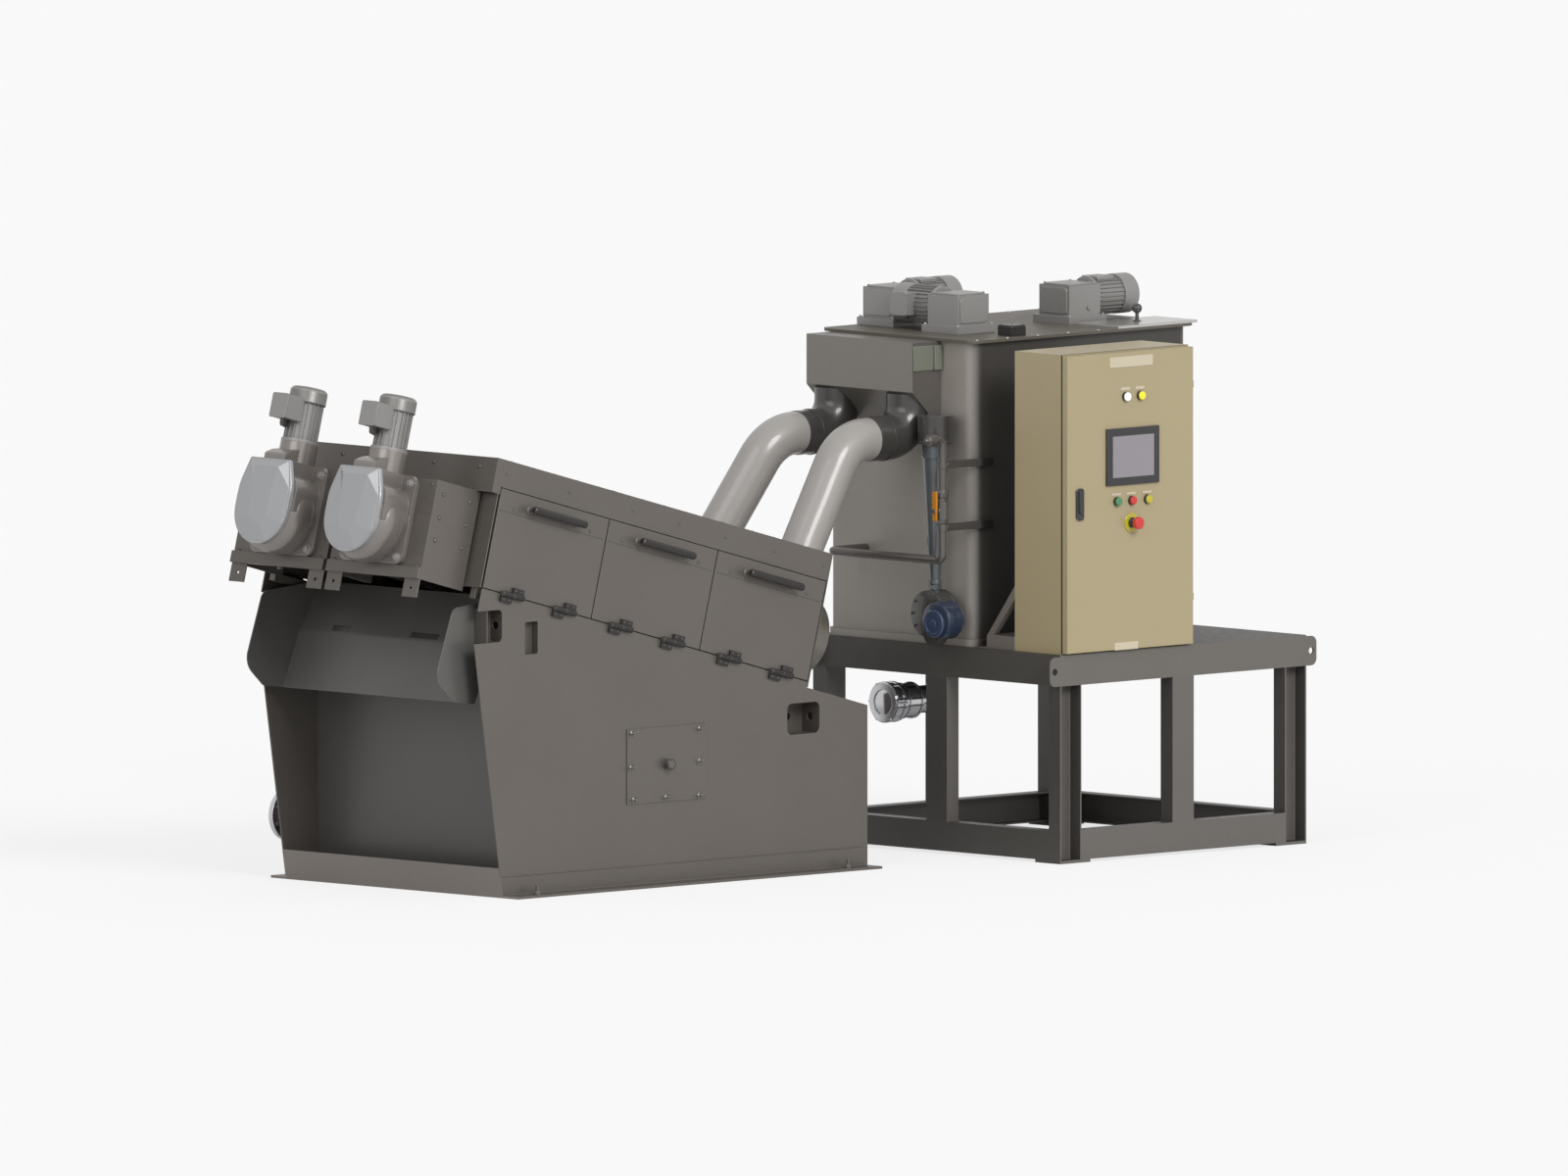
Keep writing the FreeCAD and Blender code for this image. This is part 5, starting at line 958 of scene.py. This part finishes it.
def cabinet_details():
    out = Vector((0, -1, 0))
    for name, x, z, colour in (("white", 0.323, 1.017, LAMP_WHITE), ("yellow", 0.404, 1.017, LAMP_YELLOW),
                               ("green", 0.274, 0.600, BUTTON_GREEN), ("red", 0.356, 0.600, BUTTON_RED),
                               ("amber", 0.443, 0.600, BUTTON_AMBER)):
        ring = Shape()
        ring.turned(cabinet_point(x, z, -0.0005), out, ((0, 0.0185), (0.004, 0.0185), (0.0125, 0.0165), (0.0145, 0.0155),
                    (0.0145, 0.0130)), 40)
        add("ring_" + name, ring, "screen_plastic", "cabinet_door", 0)
        cap = Shape()
        cap.turned(cabinet_point(x, z, 0.012), out, ((0, 0.0172), (0.004, 0.0172), (0.007, 0.0152), (0.0085, 0.009)), 32)
        add("cap_" + name, cap, "cabinet_paint", "cabinet_door", 0, colour)
    disc = Shape()
    disc.turned(cabinet_point(0.356, 0.511, 0), out, ((-0.0005, 0.0385), (0.0038, 0.0385), (0.0048, 0.0372)), 48)
    add("stop_plate", disc, "cabinet_paint", "cabinet_door", 0, BUTTON_AMBER)
    collar = Shape()
    collar.turned(cabinet_point(0.356, 0.511, 0.004), out, ((0, 0.0215), (0.010, 0.0205), (0.011, 0.0168),
                  (0.029, 0.0168)), 40)
    add("stop_collar", collar, "screen_plastic", "cabinet_door", 0)
    cap = Shape()
    cap.turned(cabinet_point(0.356, 0.511, 0.030), out, ((0, 0.0180), (0.002, 0.0238), (0.006, 0.0252), (0.016, 0.0252),
               (0.0193, 0.0245), (0.02004, 0.0234), (0.02005, 0.009)), 48)
    add("stop_cap", cap, "cabinet_paint", "cabinet_door", 0, BUTTON_RED)
    plates = Shape()
    plate_sizes = ((0.356, 1.1565, 0.240, 0.043), (0.323, 1.048, 0.050, 0.013), (0.404, 1.048, 0.050, 0.013),
                   (0.274, 0.628, 0.050, 0.010), (0.356, 0.628, 0.050, 0.010), (0.443, 0.628, 0.050, 0.010),
                   (0.3285, 0.0195, 0.131, 0.031))
    for x, z, width, height in plate_sizes:
        plates.plate(rounded(width, height, 0.003), cabinet_point(x, z, -0.0005), 0.0017, (1, 0, 0), (0, 0, 1))
    add("bare_plates", plates, "cabinet_paint", "cabinet_door", 0.0003, PLATE_PALE)
    bezel = Shape()
    low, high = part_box("screen")
    middle = Vector(((low.x + high.x) / 2, low.y + 0.0085, (low.z + high.z) / 2))
    width = high.x - low.x
    height = high.z - low.z
    bezel.box(middle - Vector((width / 2 + 0.001, 0.0105, height / 2 + 0.001)),
              middle + Vector((width / 2 + 0.001, 0.0005, height / 2 + 0.001)))
    add("screen_bezel", bezel, "screen_plastic", "cabinet_door", 0.002)
    glass = Shape()
    glass.box(middle + Vector((0.030 - width / 2, -0.0110, 0.030 - height / 2)),
              middle + Vector((width / 2 - 0.030, -0.002, height / 2 - 0.030)))
    add("screen_glass", glass, "screen_plastic", "cabinet_door", 0, DISPLAY)
    handle = Shape()
    handle.plate(rounded(0.042, 0.128, 0.012), cabinet_point(0.067, 0.600, -0.0005), 0.0078, (1, 0, 0), (0, 0, 1))
    handle.plate(rounded(0.022, 0.094, 0.010), cabinet_point(0.067, 0.610, 0.006), 0.0090, (1, 0, 0), (0, 0, 1))
    handle.turned(cabinet_point(0.067, 0.548, 0.006), out, ((0, 0.0085), (0.004, 0.0080), (0.0045, 0.004)), 24)
    add("door_handle", handle, "screen_plastic", "cabinet_door", 0.0015)
    # Painted shade: very dark strips set in the door's gap along its sides and top.
    seam = Shape()
    low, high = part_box("cabinet")
    start = CABINET_FRONT + 0.0295
    for x in (CABINET_LEFT, CABINET_LEFT + 0.700):
        seam.box((x - 0.0005, start, low.z + 0.004), (x + 0.0005, start + 0.0055, high.z))
    seam.box((CABINET_LEFT, start, high.z - 0.0005), (CABINET_LEFT + 0.700, start + 0.0055, high.z + 0.0005))
    add("cabinet_gap_shade", seam, "screen_plastic", bevel=0, material=SLEEVE)
    hinges = Shape()
    for z in (0.150, 1.000):
        for step in (0.008, 0.020):
            hinges.screw((CABINET_LEFT + 0.7005, CABINET_FRONT + 0.040, DECK_TOP + z + step), (1, 0, 0), 0.003)
    add("cabinet_hinge_screws", hinges, "lid_steel", bevel=0)
    roof = Shape()
    low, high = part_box("cabinet")
    for x in (0.045, 0.655):
        for y in (0.075, 0.255):
            roof.turned((CABINET_LEFT + x, CABINET_FRONT + y, high.z - 0.0005), (0, 0, 1), ((0, 0.010), (0.001, 0.010)), 6)
    add("cabinet_roof_plugs", roof, "cabinet_paint", bevel=0.0003)


# Stand

def stand_details():
    """Anchor bolts, deck bolts and drain holes."""
    low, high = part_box("stand_legs")
    bolts = Shape()
    for x in (low.x + 0.143, high.x - 0.143):
        for y in (low.y + 0.118, high.y - 0.118):
            bolts.bolt((x, y, 0.012), (0, 0, 1), 0.012)
            bolts.rod((x, y, 0.012), (0, 0, 1), 0.007, 0.036, 16, 0.001)
    add("stand_anchor_bolts", bolts, "stand_metal", bevel=0.0004)
    deck = Shape()
    for x in (1.66, 1.72, 2.06, 2.12):
        deck.turned((x, low.y + 0.045, DECK_TOP - 0.0005), (0, 0, 1), ((0, 0.009), (0.0010, 0.009)), 20)
    for x in (CABINET_LEFT + 0.05, CABINET_LEFT + 0.35, CABINET_LEFT + 0.65):
        deck.bolt((x, CABINET_FRONT + 0.300 + 0.185, DECK_TOP + 0.004), (0, 0, 1), 0.008)
    add("deck_bolts", deck, "stand_metal", bevel=0.0004)

# Stage

def make_floor():
    mesh = bpy.data.meshes.new("floor")
    half = 140.0
    mesh.from_pydata([(-half, -half, 0), (half, -half, 0), (half, half, 0), (-half, half, 0)], [], [(0, 1, 2, 3)])
    floor = bpy.data.objects.new("floor", mesh)
    bpy.context.scene.collection.objects.link(floor)
    floor.location.z = cad_box[0].z - 0.0005
    material, nodes, links = new_material("floor_pale")
    shader = nodes["Principled BSDF"]
    shader.inputs["Base Color"].default_value = (0.82, 0.82, 0.82, 1)
    shader.inputs["Roughness"].default_value = 0.9
    glow = nodes.new("ShaderNodeEmission")
    path = nodes.new("ShaderNodeLightPath")
    part = nodes.new("ShaderNodeMath")
    part.operation = "MULTIPLY"
    part.inputs[1].default_value = 0.75
    mix = nodes.new("ShaderNodeMixShader")
    links.new(path.outputs["Is Camera Ray"], part.inputs[0])
    links.new(part.outputs[0], mix.inputs[0])
    links.new(shader.outputs[0], mix.inputs[1])
    links.new(glow.outputs[0], mix.inputs[2])
    links.new(mix.outputs[0], nodes["Material Output"].inputs["Surface"])
    mesh.materials.append(material)


def make_world():
    world = bpy.data.worlds.new("studio")
    bpy.context.scene.world = world
    world.use_nodes = True
    nodes = world.node_tree.nodes
    links = world.node_tree.links
    soft = nodes["Background"]
    soft.inputs["Color"].default_value = (1, 1, 1, 1)
    soft.inputs["Strength"].default_value = 0.55
    white = nodes.new("ShaderNodeBackground")
    white.inputs["Strength"].default_value = 1.0
    path = nodes.new("ShaderNodeLightPath")
    most = nodes.new("ShaderNodeMath")
    most.operation = "MAXIMUM"
    both = nodes.new("ShaderNodeMath")
    both.operation = "MAXIMUM"
    mix = nodes.new("ShaderNodeMixShader")
    links.new(path.outputs["Is Glossy Ray"], most.inputs[0])
    links.new(path.outputs["Is Transmission Ray"], most.inputs[1])
    links.new(most.outputs[0], both.inputs[0])
    links.new(path.outputs["Is Camera Ray"], both.inputs[1])
    links.new(both.outputs[0], mix.inputs[0])
    links.new(soft.outputs[0], mix.inputs[1])
    links.new(white.outputs[0], mix.inputs[2])
    links.new(mix.outputs[0], nodes["World Output"].inputs["Surface"])


def make_sun(name, towards, strength, angle):
    lamp = bpy.data.lights.new(name, "SUN")
    lamp.energy = strength
    lamp.angle = math.radians(angle)
    sun = bpy.data.objects.new(name, lamp)
    bpy.context.scene.collection.objects.link(sun)
    sun.rotation_mode = "QUATERNION"
    sun.rotation_quaternion = Vector(towards).to_track_quat("-Z", "Y")


def make_camera():
    data = bpy.data.cameras.new("camera")
    data.type = "ORTHO"
    data.ortho_scale = VIEW_WIDTH
    data.clip_end = 300
    camera = bpy.data.objects.new("camera", data)
    bpy.context.scene.collection.objects.link(camera)
    camera.location = VIEW_TARGET + VIEW_BACK * VIEW_DISTANCE
    camera.rotation_mode = "QUATERNION"
    camera.rotation_quaternion = (-VIEW_BACK).to_track_quat("-Z", "Y")
    bpy.context.scene.camera = camera


dress_nodes()
door_details()
roof_details()
base_details()
front_details()
drum_rings()
drive_details()
feed_details()
overflow_details()
pump_details()
water_pipe_details()
coupling_details()
tank_details()
mixer_details()
cabinet_details()
stand_details()
make_floor()
make_world()
make_sun("key", (0.15, 0.9, -0.55), 1.9, 25)
make_sun("fill", (0.9, 0.2, -0.45), 0.7, 40)
make_camera()
bpy.context.scene.view_settings.view_transform = "Standard"
